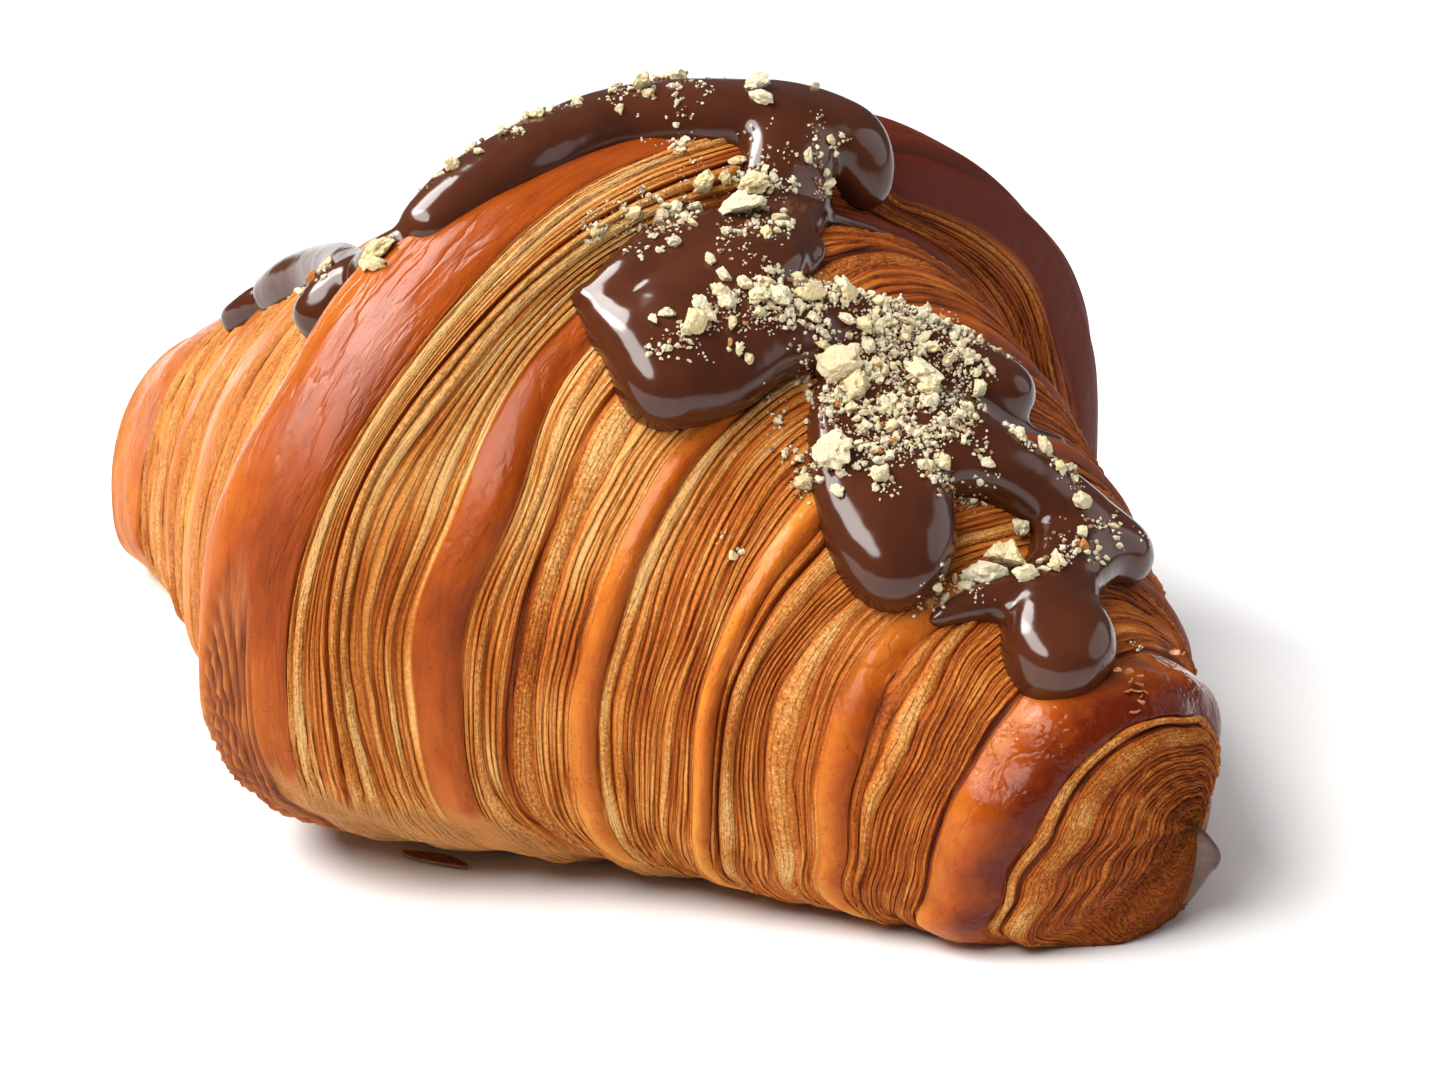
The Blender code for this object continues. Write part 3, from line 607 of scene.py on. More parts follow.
def settled(station, angle):
    """Stations after the widest turn wraps over its edge on the back and all edges bend and waver."""
    degrees = np.degrees(angle)
    wrap = window(np.where(degrees > 180, degrees - 360, degrees), *WRAP_WINDOW)
    wrap = wrap * (station > WRAP_REACH[0]) * (station < WRAP_REACH[1])
    moved = np.interp(station, (WRAP_START, WRAP_FROM, WRAP_END), (0, WRAP_TO - WRAP_FROM, 0))
    station = station + wrap * moved
    waver = WAVER * (ripple(3, station, angle, 0.25, 6) + 0.2 * ripple(4, station, angle, 0.7, 16))
    run = run_along(station + np.clip((END - np.abs(station)) / WAVER_FADE, 0, 1) * waver)
    body = before(run, END + 15, 12)
    run = run - TIP_LEAN * window(degrees, *UNDER_FRONT) * past(run, 36, 26) * body
    run = run + TIP_SWEEP * window(degrees, *OVER_TIP) * past(run, 62, 9) * body
    for shift, turn, turn_spread, place, spread in EDGE_SHIFTS:
        run = run + shift * bell(degrees, turn, turn_spread) * bell(run, place, spread)
    return station_at(run), wrap


class Places:
    """Where every point of the pastry is, and how much it belongs to each side."""

    def __init__(self, station, angle):
        self.station, self.wrap = settled(station, angle)
        self.angle = angle
        self.degrees = np.degrees(angle)
        self.upper = window(self.degrees, *UPPER_FRONT)
        self.low = past(-np.sin(angle), 0.2, 0.5)
        self.far = before(self.station, -11, 3)
        self.foot = past(self.degrees, 166, 24) * before(self.station, 60, 16) * (1 - self.far)
        # The back, which the layer tone and the skin darkness darken as painted shade, less so towards the
        # near tip.
        back = window((self.degrees - SHADED_BACK_FROM) % 360, 0, 20, 154, 14)
        self.back = back * (1 - 0.85 * past(self.station, 56, 10))

    def ripple(self, seed, along, around):
        return ripple(seed, self.station, self.angle, along, around)

    def patch(self, amount, station, spread, degrees, degrees_spread):
        return amount * bell(self.station, station, spread) * bell(self.degrees, degrees, degrees_spread)


def sweep_arcs(at, *looks):
    """Carries the arcs round the near apex on down to the floor, in place of rings that close under it."""
    run = run_along(at.station)
    near = run.max(axis=1) > END
    ahead = ARC_SWEEP * window(at.degrees, *ARC_WINDOW) * past(run, END + 0.5, 5)
    for values in looks:
        for j in np.flatnonzero(ahead.max(axis=0) > 0):
            values[near, j] = np.interp((run + ahead)[near, j], run[near, j], values[near, j])


def near_marks(points, marks):
    """How near each point is to the nearest mark: 1 on it and falling with its spread."""
    near = np.zeros(points.shape[:-1])
    for station, degrees, spread in marks:
        distance = np.linalg.norm(points - spot(station, degrees)[0], axis=-1)
        near = np.maximum(near, bell(distance, 0, spread))
    return near


def leaf_parts(at):
    """How much the loose leaf of dough is there, and its ribs."""
    near = np.interp(at.degrees, LEAF_ANGLE, LEAF_NEAR)
    far = np.interp(at.degrees, LEAF_ANGLE, LEAF_FAR)
    inside = np.minimum(near - at.station, at.station - far)
    ends = np.minimum(at.degrees - LEAF_ANGLE[0], LEAF_ANGLE[-1] - at.degrees) / 6
    there = np.clip(np.minimum(inside / 0.8, ends), 0, 1)
    across = (at.station - far) / np.maximum(near - far, 0.5)
    ribs = 1 - np.abs(np.sin(math.pi * LEAF_RIBS * across + 0.5 * ripple(13, 0.0, at.angle, 0, 5)))
    return there, 0.5 + (ribs - 0.5) * past(at.degrees, 168, 12)


def crumple_share(at):
    """How much the pale crumpled dough under the front is there, from its ragged upper edge down."""
    edge = np.radians(np.interp(at.station, CRUMPLE_AT, CRUMPLE_ANGLE))
    ragged = 0.06 * at.ripple(7, 0.5, 12) + 0.05 * at.ripple(14, 3.0, 3)
    share = past(at.angle + ragged, edge, 0.1) * (at.angle < math.radians(CRUMPLE_END))
    return share * (at.station > CRUMPLE_AT[0]) * (at.station < CRUMPLE_AT[-1])


def layer_tone(at, tone):
    """The cut layers: paler on the front and low down, browner at the tip, and browner on the back as painted
    shade.
    """
    tone = tone + (LOW_TONE - tone) * 0.45 * at.low
    tone = tone + (FAR_TONE - tone) * 0.5 * at.far
    # Paler on the upper front: partly the cream of the layers, partly painted light.
    front = 0.24 * at.upper * before(at.station, 48, 20) * (1 - at.far)
    widest_turn = 0.06 * at.upper * before(at.station, 20, 6)
    base = 0.3 * at.low * before(at.station, 24, 10)
    tip = 0.12 * past(at.station, 30, 8)
    cone = 0.12 * past(np.abs(at.station), END + 0.12, 0.2)
    # Painted shade on the back.
    back = 0.24 * at.back * past(at.station, 9, 4)
    return tone + tip + cone + back - front - widest_turn - base - 0.13 * at.foot


def skin_bake_and_shade(at, bake_and_shade):
    """The smooth skin: paler low down, and darker on the back and on the turn that wraps there, both as
    painted shade.
    """
    bake_and_shade = bake_and_shade + 0.3 * at.back + 0.8 * at.wrap * past(at.station, -7, 17)
    return bake_and_shade - 0.4 * at.low - 0.16 * at.foot


def skin_dents(at):
    """Dents of the smooth skin, finer on the upper front, and creases on the widest turn."""
    dents = 0.1 * at.ripple(10, 1.3, 22) + 0.2 * at.ripple(11, 0.3, 9)
    dents = dents + 0.07 * at.upper * at.ripple(15, 2.2, 5)
    creases = np.abs(at.ripple(17, 1.3, 3)) ** 0.7 - 0.5
    return dents + 0.35 * window(at.degrees, *CREASE_WINDOW) * bell(at.station, -2, 6) * creases


def surface_height(at, rise, crumb, skin, crumple, leaf, ribs):
    """How far each point stands out from the plain form."""
    size = np.clip(smooth_through(np.clip(at.station, -END, END), SECTION_AT, HEIGHT) / FULL_RISE, 0.5, 1)
    plain = (1 - crumple) * (1 - leaf)
    height = rise * size * (1 - 0.45 * at.low) * (1 - 0.3 * at.far) * plain
    folds = 1 - np.abs(at.ripple(8, 0.9, 8)) + 0.3 * at.ripple(9, 1.6, 36)
    height = height + crumple * (0.6 * folds - 0.25)
    height = height + skin * skin_dents(at) * (1 - crumple)
    grit = np.random.RandomState(4).uniform(-1, 1, rise.shape)
    height = height + GRIT * np.clip(crumb - 0.3, 0, 1.2) * grit * plain
    bulge = (at.degrees - BULGE_ANGLE) / 16
    height = height + BULGE * bell(at.station, 69, 4) * bulge * bell(bulge, 0, 1)
    groove = 1.2 * bell(at.station, WRAP_GROOVE, 0.5)
    lip = 0.5 * bell(at.station, WRAP_LIP, 0.5)
    height = height - at.wrap * (groove - lip)
    tucked = window((at.degrees - TUCK_FROM) % 360, 0, 45, 105, 35)
    height = height - TIP_TUCK * past(at.station, 60, 9) * tucked
    height = height + LEAF_RISE * leaf * (0.3 + 0.7 * ribs)
    height = height - at.patch(*FRONT_HOLLOW) - at.patch(*HEEL_HOLLOW)
    return height + FOOT_RAGGED * at.ripple(16, 2.4, 2) * bell(at.degrees, 226, 20) * (1 - skin)


def surface_points(at, height):
    """The points of the surface, with the near tip filled out at its foot and the underside made flat."""
    points = plain_form(at.station, at.angle) + outward(at.station, at.angle) * height[..., None]
    keep = cap_keep(np.maximum(at.station, 0))
    fuller = 1 + 4 * TIP_FOOT * keep * (1 - keep) * bell(at.degrees, 270, 20)
    apex = np.array(NEAR_APEX[1:])
    points[..., 1:] = apex + (points[..., 1:] - apex) * fuller[..., None]
    points[..., 2] = np.maximum(points[..., 2], 0.0)
    return points


def pastry_piece():
    """The whole pastry as one closed skin, with what the material reads kept on its points."""
    angles = even_angles(AROUND)
    station, rise, (tone, crumb, skin, bake_and_shade) = pastry_rows(angles)
    run = np.tile(run_along(station).mean(axis=1, keepdims=True), (1, AROUND))
    at = Places(station, np.tile(angles, (len(station), 1)))
    sweep_arcs(at, rise, tone, crumb)
    crumple = crumple_share(at)
    leaf, ribs = leaf_parts(at)
    points = surface_points(at, surface_height(at, rise, crumb, skin, crumple, leaf, ribs))
    made = closed_skin("croissant_dough", points, FAR_APEX, NEAR_APEX)

    grain = np.stack([run, 30 * np.cos(at.angle), 30 * np.sin(at.angle)], -1).reshape(-1, 3)
    grain = np.vstack([grain, [[-90, 0, 0], [90, 0, 0]]])
    layer = made.data.attributes.new("grain", "FLOAT_VECTOR", "POINT")
    layer.data.foreach_set("vector", grain.astype(np.float32).ravel())
    sheen = np.maximum(0.3 + 0.8 * at.upper, 1.25 * past(at.station, 58, 6))
    # A painted shadow line in the groove before the lip, where the widest turn wraps on the back.
    shadow = 0.8 * at.wrap * bell(at.station, WRAP_SHADOW, 0.5)
    named = {
        "tone": layer_tone(at, tone),
        "crumb": crumb,
        "skin": skin,
        "bake_and_shade": skin_bake_and_shade(at, bake_and_shade),
        "leaf": leaf,
        "ribs": ribs,
        "pale": crumple,
        "film": near_marks(points, FILMS),
        "marks_and_shadow": np.maximum(near_marks(points, MARKS), shadow),
        "gloss": skin * sheen * (1 - at.wrap),
    }
    for name, values in named.items():
        set_attribute(made, name, np.append(values.ravel(), [values[0].mean(), values[-1].mean()]))
    front = (skin > 0.5) & (at.wrap < 0.5)
    glazed = np.append((front[:-1] & front[1:]).ravel(), np.zeros(2 * AROUND, bool))
    made.data.polygons.foreach_set("material_index", glazed.astype(np.int32))
    return made


def closed_skin(name, points, first_apex, last_apex):
    """A mesh through rings of points, closed at both ends to an apex."""
    count, around = points.shape[:2]
    vertices = np.vstack([points.reshape(-1, 3), [first_apex, last_apex]])
    index = np.arange(count * around).reshape(count, around)
    turned = np.roll(index, -1, axis=1)
    quads = np.stack([index[:-1], turned[:-1], turned[1:], index[1:]], -1).reshape(-1, 4).tolist()
    first = count * around
    fans = [(first, b, a) for a, b in zip(index[0].tolist(), turned[0].tolist())]
    fans += [(first + 1, a, b) for a, b in zip(index[-1].tolist(), turned[-1].tolist())]
    made = mesh_object(name, vertices, quads + fans)
    made.data.shade_smooth()
    return made


def unit_ball(subdivisions):
    """Points and faces of an icosphere."""
    shape = bmesh.new()
    bmesh.ops.create_icosphere(shape, subdivisions=subdivisions, radius=1)
    points = np.array([vertex.co for vertex in shape.verts])
    faces = np.array([[vertex.index for vertex in face.verts] for face in shape.faces])
    shape.free()
    return points, faces


def stroke_dabs():
    """Places and sizes of the dabs that make up the poured strokes."""
    for rows in STROKES.values():
        rows = np.array(rows, float)
        run = run_through(plain_form(rows[:, 0], np.radians(rows[:, 1])))
        at = np.linspace(0, run[-1], max(2, int(run[-1] / DAB_STEP) + 1))
        yield from zip(*(smooth_through(at, run, column) for column in rows.T))


def apply_modifiers(made):
    """Bakes the modifiers into the object's own mesh."""
    graph = bpy.context.evaluated_depsgraph_get()
    baked = bpy.data.meshes.new_from_object(made.evaluated_get(graph))
    made.modifiers.clear()
    made.data = baked


def chocolate_piece():
    """Overlapping dabs along the strokes, run together and rounded as poured chocolate is."""
    unit, ball_faces = unit_ball(4)
    level = np.abs(unit[:, 2]) * 0.9999
    fuller = (1 - level**CHOCOLATE_SHOULDER) ** (1 / CHOCOLATE_SHOULDER) / np.sqrt(1 - level**2)
    unit = unit * np.stack([fuller, fuller, np.ones(len(unit))], -1)
    dabs = []
    for station, degrees, half_width, thickness in stroke_dabs():
        centre, normal = spot(station, degrees)
        side = np.cross(normal, (0.0, 0.0, 1.0))
        side = side / np.linalg.norm(side)
        axes = np.stack([side * half_width, np.cross(normal, side) * half_width, normal * thickness * 0.9])
        dabs.append(centre + normal * 0.1 * thickness + unit @ axes)
    made = lumps_object("poured_chocolate", dabs, ball_faces)
    remesh = made.modifiers.new("remesh", "REMESH")
    remesh.mode = "VOXEL"
    remesh.voxel_size = CHOCOLATE_VOXEL * MM
    smooth = made.modifiers.new("smooth", "SMOOTH")
    smooth.factor = 0.5
    smooth.iterations = CHOCOLATE_SMOOTHING
    apply_modifiers(made)
    made.data.shade_smooth()
    return made


def rough_ball(unit, draw, depth, pace):
    """A broken, uneven lump with flat breaks on all sides."""
    offset = Vector([draw.uniform(0, 50) for _ in range(3)])
    grown = np.array([1 + depth * noise.fractal(Vector(p) * pace + offset, 1.0, 2.0, 3) for p in unit])
    shape = unit * (grown / np.quantile(grown, 0.9))[:, None]
    for _ in range(9):
        facing = np.array([draw.gauss(0, 1) for _ in range(3)])
        facing = facing / np.linalg.norm(facing)
        shape = shape - np.outer(np.maximum(shape @ facing - draw.uniform(0.35, 0.8), 0) * 0.8, facing)
    rough = np.array([1 + 0.12 * noise.noise(Vector(p) * 4.5 + offset) for p in unit])
    return shape * rough[:, None] / np.quantile(np.linalg.norm(shape, axis=1), 0.95)


def fallen(surfaces, station, degrees, aside, along):
    """Where a lump that falls towards a place comes to lie, with the slope there, or None."""
    place, normal = spot(station, degrees)
    normal = Vector(normal)
    side = normal.orthogonal().normalized()
    start = Vector((place + CENTRING) * MM)
    start += (side * aside + normal.cross(side) * along + normal * DROP_FROM) * MM
    hits = [surface.ray_cast(start, -normal) for surface in surfaces]
    hits = [hit for hit in hits if hit[0] is not None and hit[3] < DROP_REACH * MM]
    return min(hits, key=lambda hit: hit[3])[:2] if hits else None


def nut_shade(draw, length):
    """Pale for most lumps, yellow for the toasted ones, and brown for crumbs that chocolate coats."""
    look = draw.random()
    if look < TOASTED:
        shade = 0.3
    else:
        shade = draw.uniform(0.5, 1.0) if length > 1.5 else draw.uniform(0.6, 0.9)
    if length < 1 and look > 1 - COATED:
        shade = draw.uniform(0.0, 0.12)
    return shade


def nut_piece(name, places, surfaces, subdivisions, seed, depth, sink):
    """Lumps of hazelnut that sit on whatever they fall on: one joined mesh."""
    draw = random.Random(seed)
    unit, ball_faces = unit_ball(subdivisions)
    shapes = [rough_ball(unit, draw, depth, draw.uniform(0.9, 1.6)) for _ in range(NUT_SHAPES)]
    lumps = []
    shades = []
    for station, degrees, aside, along, lift, length in places:
        found = fallen(surfaces, station, degrees, aside, along)
        if found is None:
            continue
        place, lie = found
        spin = Matrix.Rotation(draw.uniform(0, 2 * math.pi), 3, "Z")
        stand = lie.to_track_quat("Z", "Y").to_matrix()
        tilt = Matrix.Rotation(draw.uniform(-0.7, 0.7), 3, "X")
        flat = Matrix.Diagonal((1.0, draw.uniform(0.62, 0.95), draw.uniform(0.5, 0.85)))
        turn = np.array(stand @ tilt @ spin @ flat)
        shape = draw.choice(shapes) * (length * 0.49)
        centre = np.array(place) / MM - CENTRING + np.array(lie) * (sink * length + lift)
        lumps.append(centre + shape @ turn.T)
        shades.append(np.full(len(unit), nut_shade(draw, length)))
    made = lumps_object(name, lumps, ball_faces)
    set_attribute(made, "shade", np.concatenate(shades))
    return made


def crumb_places(seed, share, longest, shortest, pace):
    """Crumbs of the clusters, most of them heaped in small clumps."""
    draw = random.Random(seed)
    for station, degrees, spread, count in CRUMBS:
        left = round(count * share)
        while left > 0:
            clump = min(left, draw.randint(1, CLUMP))
            middle = draw.gauss(0, spread), draw.gauss(0, spread)
            width = 0.2 * math.sqrt(clump)
            for _ in range(clump):
                aside, along = draw.gauss(0, width), draw.gauss(0, width)
                heaped = max(0, clump - 3) * 0.06 * math.exp(-(aside**2 + along**2) / (2 * width**2))
                length = min(longest, shortest + draw.expovariate(pace))
                yield station, degrees, middle[0] + aside, middle[1] + along, heaped * draw.random(), length
            left -= clump


def sheet(name, grid, thickness):
    """A closed thin sheet through a grid of points."""
    grid = np.asarray(grid)
    normal = np.cross(np.gradient(grid, axis=0), np.gradient(grid, axis=1))
    normal = normal / np.maximum(np.linalg.norm(normal, axis=-1, keepdims=True), 1e-9)
    rows, columns = grid.shape[:2]
    half = np.broadcast_to(thickness, (rows, columns))[..., None] / 2
    sides = [(grid + side * half * normal).reshape(-1, 3) for side in (-1, 1)]
    index = np.arange(rows * columns).reshape(rows, columns)
    front = np.stack([index[:-1, :-1], index[:-1, 1:], index[1:, 1:], index[1:, :-1]], -1).reshape(-1, 4)
    faces = front.tolist() + (front[:, ::-1] + rows * columns).tolist()
    rim = np.concatenate([index[0, :-1], index[:-1, -1], index[-1, :0:-1], index[:0:-1, 0]]).tolist()
    for a, b in zip(rim, rim[1:] + rim[:1]):
        faces.append((b, a, a + rows * columns, b + rows * columns))
    made = mesh_object(name, np.vstack(sides), faces)
    made.data.shade_smooth()
    return made


def curve_through(points, count):
    """Evenly spaced points on a smooth curve through the given ones."""
    points = np.array(points, float)
    run = run_through(points)
    at = np.linspace(0, run[-1], count)
    return np.stack([smooth_through(at, run, column) for column in points.T], -1)


def tongue_piece():
    """The tongue of dough between its fold and its free edge, a little arched."""
    rows, columns = TONGUE_GRID
    fold = curve_through(TONGUE_FOLD, columns)
    edge = curve_through(TONGUE_EDGE, columns)
    lower_end = before(np.linspace(0, 1, columns), 0.58, 0.1)
    grid = []
    rim = []
    for share in np.linspace(0, 1, rows):
        arch = 0.5 * math.sin(share * math.pi)
        grid.append(fold * (1 - share) + edge * share + np.array([arch, -arch, 0]))
        rim.append(bell(share, 0.96, 0.12) * lower_end)
    rim = np.array(rim)
    made = sheet("dough_tongue", grid, TONGUE_THICK + TONGUE_RIM * rim)
    set_attribute(made, "rim", np.tile(rim.ravel(), 2))
    return made


def flake_piece():
    """Loose flakes of crust: a long one on the floor under the front, and shards by the last drip."""
    draw = random.Random(31)
    parts = [sheet("flake", flake_grid(FLOOR_FLAKE, FLOOR_FLAKE_SIZE, 0.3, draw), 0.25)]
    for station, degrees, length in SHARDS:
        centre, normal = spot(station, degrees)
        centre = centre + normal * (2.5 * bell(station, 68.5, 3) + 0.3)
        size = (length * 0.8, length * 0.4)
        grid = flake_grid(centre, size, draw.uniform(0, 3), draw, draw.uniform(-1.3, 1.3))
        parts.append(sheet("flake", grid, 0.08))
    bpy.ops.object.select_all(action="DESELECT")
    for part in parts:
        part.select_set(True)
    bpy.context.view_layer.objects.active = parts[0]
    bpy.ops.object.join()
    parts[0].name = "crust_flakes"
    return parts[0]


def flake_grid(centre, size, turn, draw, tilt=0.0):
    """A small curled and pointed leaf, tilted and turned."""
    length, width = size
    lift = draw.uniform(0.3, 0.6)
    u = np.linspace(-1, 1, 15)[:, None]
    v = np.linspace(-1, 1, 5)
    x = u * length / 2 + 0 * v
    y = v * (width / 2 * (1 - np.abs(u) ** 1.6) ** 0.6 + 0.04) + 0.15 * width * np.sin(3 * u + 1)
    z = lift * width * (0.35 * v * v + 0.5 * u * u)
    y, z = y * math.cos(tilt) - z * math.sin(tilt), y * math.sin(tilt) + z * math.cos(tilt)
    x, y = x * math.cos(turn) - y * math.sin(turn), x * math.sin(turn) + y * math.cos(turn)
    return np.stack([x, y, z], -1) + np.asarray(centre)


def colour(red, green, blue):
    """A colour given in the screen's 0 to 255 as the linear values that shaders take."""
    parts = [channel / 255 for channel in (red, green, blue)]
    return tuple(c / 12.92 if c <= 0.04045 else ((c + 0.055) / 1.055) ** 2.4 for c in parts) + (1.0,)


class Wire:
    """What a shader node gives out. Sums and products of wires add the nodes that work them out."""

    def __init__(self, look, socket):
        self.look = look
        self.socket = socket

    def __add__(self, other):
        return self.look.math("ADD", self, other)

    def __sub__(self, other):
        return self.look.math("SUBTRACT", self, other)

    def __rsub__(self, other):
        return self.look.math("SUBTRACT", other, self)

    def __mul__(self, other):
        return self.look.math("MULTIPLY", self, other)

    def clamped(self):
        """The same value kept between 0 and 1."""
        self.socket.node.use_clamp = True
        return self


class Look:
    """One material, with short calls that add its nodes and link them."""

    def __init__(self, name):
        self.material = bpy.data.materials.new(name)
        self.material.use_nodes = True
        self.tree = self.material.node_tree

    def node(self, kind, inputs, output=0, **settings):
        """A node with its settings and inputs: its output as a wire."""
        made = self.tree.nodes.new("ShaderNode" + kind)
        for name, value in settings.items():
            setattr(made, name, value)
        self.put(made, inputs)
        return Wire(self, made.outputs[output])

    def put(self, node, inputs):
        """Sets each input to a constant on its own socket, or links it to a wire."""
        for key, value in inputs.items():
            if isinstance(value, Wire):
                self.tree.links.new(value.socket, node.inputs[key])
            else:
                node.inputs[key].default_value = value

    def attribute(self, name, output="Fac"):
        return self.node("Attribute", {}, output, attribute_name=name)

    def place(self):
        """The place in millimetres on the object."""
        return self.scaled(self.node("TexCoord", {}, "Object"), (1000, 1000, 1000))

    def scaled(self, vector, scale):
        return self.node("VectorMath", {0: vector, 1: scale}, operation="MULTIPLY")

    def noise(self, vector, scale, detail, roughness=0.55):
        inputs = {"Vector": vector, "Scale": scale, "Detail": detail, "Roughness": roughness}
        return self.node("TexNoise", inputs, "Fac")

    def streaks(self, vector, scale, detail, roughness=0.55):
        """Noise with its own scale along each axis."""
        return self.noise(self.scaled(vector, scale), 1.0, detail, roughness)

    def math(self, operation, *values):
        return self.node("Math", dict(enumerate(values)), operation=operation)

    def ramp(self, value, *stops):
        """Colours by value, each stop a position and a colour on the screen."""
        shown = self.node("ValToRGB", {"Fac": value}, "Color")
        elements = shown.socket.node.color_ramp.elements
        while len(elements) < len(stops):
            elements.new(0.5)
        for element, (position, shade) in zip(elements, stops):
            element.position = position
            element.color = colour(*shade)
        return shown

    def mix(self, share, first, second):
        return self.node("Mix", {0: share, 6: first, 7: second}, 2, data_type="RGBA")

    def bumps(self, *heights):
        """Bumps on bumps, each a height and how many millimetres 1 stands for."""
        inputs = {}
        for height, distance in heights:
            inputs.update({"Height": height, "Distance": distance * MM})
            inputs["Normal"] = self.node("Bump", inputs, "Normal")
        return inputs["Normal"]

    def finished(self, inputs):
        """The material, with what its surface reads."""
        self.put(self.tree.nodes["Principled BSDF"], inputs)
        return self.material


def dough_colour(look, place, layers, baked, rib_shade_and_fibres, grains):
    """The colours of baked dough: cut layers, glazed skin, crumpled dough, the loose leaf with painted shade
    between its ribs, and the marks with a painted shadow line where the widest turn wraps.
    """
    shown = look.ramp(
        layers,
        (0.0, (232, 180, 112)),
        (0.2, (212, 142, 68)),
        (0.45, (186, 100, 32)),
        (0.72, (150, 68, 14)),
        (1.0, (96, 38, 11)),
    )
    # The skins' darkness carries painted shade on the back and on the turn that wraps there.
    skins = look.ramp(
        baked,
        (0.0, (206, 136, 52)),
        (0.3, (184, 102, 32)),
        (0.6, (152, 68, 16)),
        (1.0, (92, 28, 8)),
    )
    pits = look.ramp(look.noise(place, 2.4, 2.0), (0.3, (255, 255, 255)), (0.36, (0, 0, 0)))
    skins = look.mix(pits * 0.5, skins, colour(96, 36, 12))
    crumpled = look.ramp(grains, (0.3, (166, 104, 50)), (0.7, (192, 132, 72)))
    # The loose leaf: painted shade between its ribs, light on their crests, with streaks of fibre along it.
    fibrous_and_rib_shade = look.ramp(rib_shade_and_fibres, (0.05, (88, 38, 16)), (0.45, (140, 72, 32)), (0.95, (186, 116, 60)))
    for share, over in (
        (look.attribute("skin"), skins),
        (look.attribute("pale") * 0.85, crumpled),
        (look.attribute("leaf"), fibrous_and_rib_shade),
        (look.attribute("film") * 0.8, colour(80, 40, 24)),
        # Marks, and the painted shadow line along the groove of the wrapped turn.
        (look.attribute("marks_and_shadow") * 0.85, colour(60, 24, 10)),
    ):
        shown = look.mix(share, shown, over)
    return shown


def dough_material(name, gloss):
    """Baked laminated dough: glazed skin, cream to brown layers, and crumb."""
    look = Look(name)
    grain = look.attribute("grain", "Vector")
    along = look.node("SeparateXYZ", {0: grain})
    place = look.place()
    tone, crumb, skin, bake_and_shade = (look.attribute(name) for name in ("tone", "crumb", "skin", "bake_and_shade"))
    streak = look.streaks(grain, (2.4, 0.2, 0.2), 6.0, 0.7)
    drift = look.streaks(grain, (0.9, 0.07, 0.07), 3.0)
    patches = look.streaks(grain, (0.12, 0.1, 0.1), 3.0)
    wrinkles = look.streaks(grain, (1.1, 0.35, 0.35), 6.0, 0.6)
    folds = look.streaks(grain, (0.5, 0.16, 0.16), 3.0, 0.5)
    grains = look.noise(place, 2.8, 3.0, 0.8)
    sheets = look.math("PINGPONG", along * 2.9 + drift * 4.0, 0.5)
    lines = (1.0 - sheets * 4.5).clamped()
    creases = (look.math("ABSOLUTE", folds - 0.5) * 14.0).clamped()

    grainy = crumb * 0.65 + 0.3
    layers = tone + (streak - 0.5) * 0.3
    layers = layers + lines * (0.24 - crumb * 0.24).clamped()
    layers = layers + (grains - 0.5) * 1.3 * grainy
    layers = (layers + (patches - 0.5) * 0.5).clamped()
    # The skins' darkness, with its painted shade on the back and on the wrapped turn.
    baked = (bake_and_shade + (wrinkles - 0.5) * 0.4 + (patches - 0.5) * 0.6).clamped()
    # Painted shade between the leaf's ribs, broken by streaks of fibre.
    rib_shade_and_fibres = (look.attribute("ribs") + (streak - 0.5) * 1.2).clamped()
    dull = (grains - 0.5) * 0.9 * grainy
    polish = look.attribute("gloss") * (0.36 - (patches - 0.5) * 0.7)
    return look.finished({
        "Base Color": dough_colour(look, place, layers, baked, rib_shade_and_fibres, grains),
        "Roughness": (0.62 - dull - polish).clamped(),
        "Specular IOR Level": gloss,
        "Subsurface Weight": 0.1,
        "Subsurface Radius": (1.0, 0.4, 0.15),
        "Subsurface Scale": 1.0 * MM,
        "Normal": look.bumps(
            ((streak - lines) * (1.0 - skin), 0.2),
            (grains * (crumb * 0.95).clamped(), 0.35),
            (wrinkles * skin, 0.045),
            (creases * skin, 0.07),
            (folds * skin, 0.3),
            (look.noise(place, 1.1, 5.0) * look.attribute("pale"), 0.5),
        ),
    })


def chocolate_material():
    """Set milk chocolate: even, glossy, with a few soft waves."""
    look = Look("glossy milk chocolate")
    place = look.place()
    waves = look.noise(place, 0.12, 2.0)
    return look.finished({
        "Base Color": look.ramp(waves, (0.35, (66, 30, 15)), (0.65, (77, 37, 19))),
        "Roughness": 0.14,
        "Specular IOR Level": 0.46,
        "Subsurface Weight": 0.08,
        "Subsurface Radius": (1.0, 0.5, 0.3),
        "Subsurface Scale": 1.0 * MM,
        "Normal": look.bumps((look.noise(place, 0.16, 2.0), 0.25)),
    })


def nut_material():
    """Chopped hazelnut: pale and dry, a few pieces more yellow or toasted, and crumbs in chocolate brown."""
    look = Look("chopped hazelnut")
    specks = look.noise(look.place(), 3.0, 4.0, 0.7)
    tint = look.ramp(
        (look.attribute("shade") + (specks - 0.5) * 0.25).clamped(),
        (0.0, (150, 112, 90)),
        (0.12, (172, 130, 104)),
        (0.3, (204, 132, 60)),
        (0.5, (236, 214, 164)),
        (0.8, (242, 231, 200)),
        (1.0, (242, 219, 160)),
    )
    return look.finished({
        "Base Color": tint,
        "Roughness": 0.62,
        "Specular IOR Level": 0.3,
        "Subsurface Weight": 0.15,
        "Subsurface Radius": (1.0, 0.8, 0.5),
        "Subsurface Scale": 0.6 * MM,
        "Normal": look.bumps((specks, 0.5)),
    })


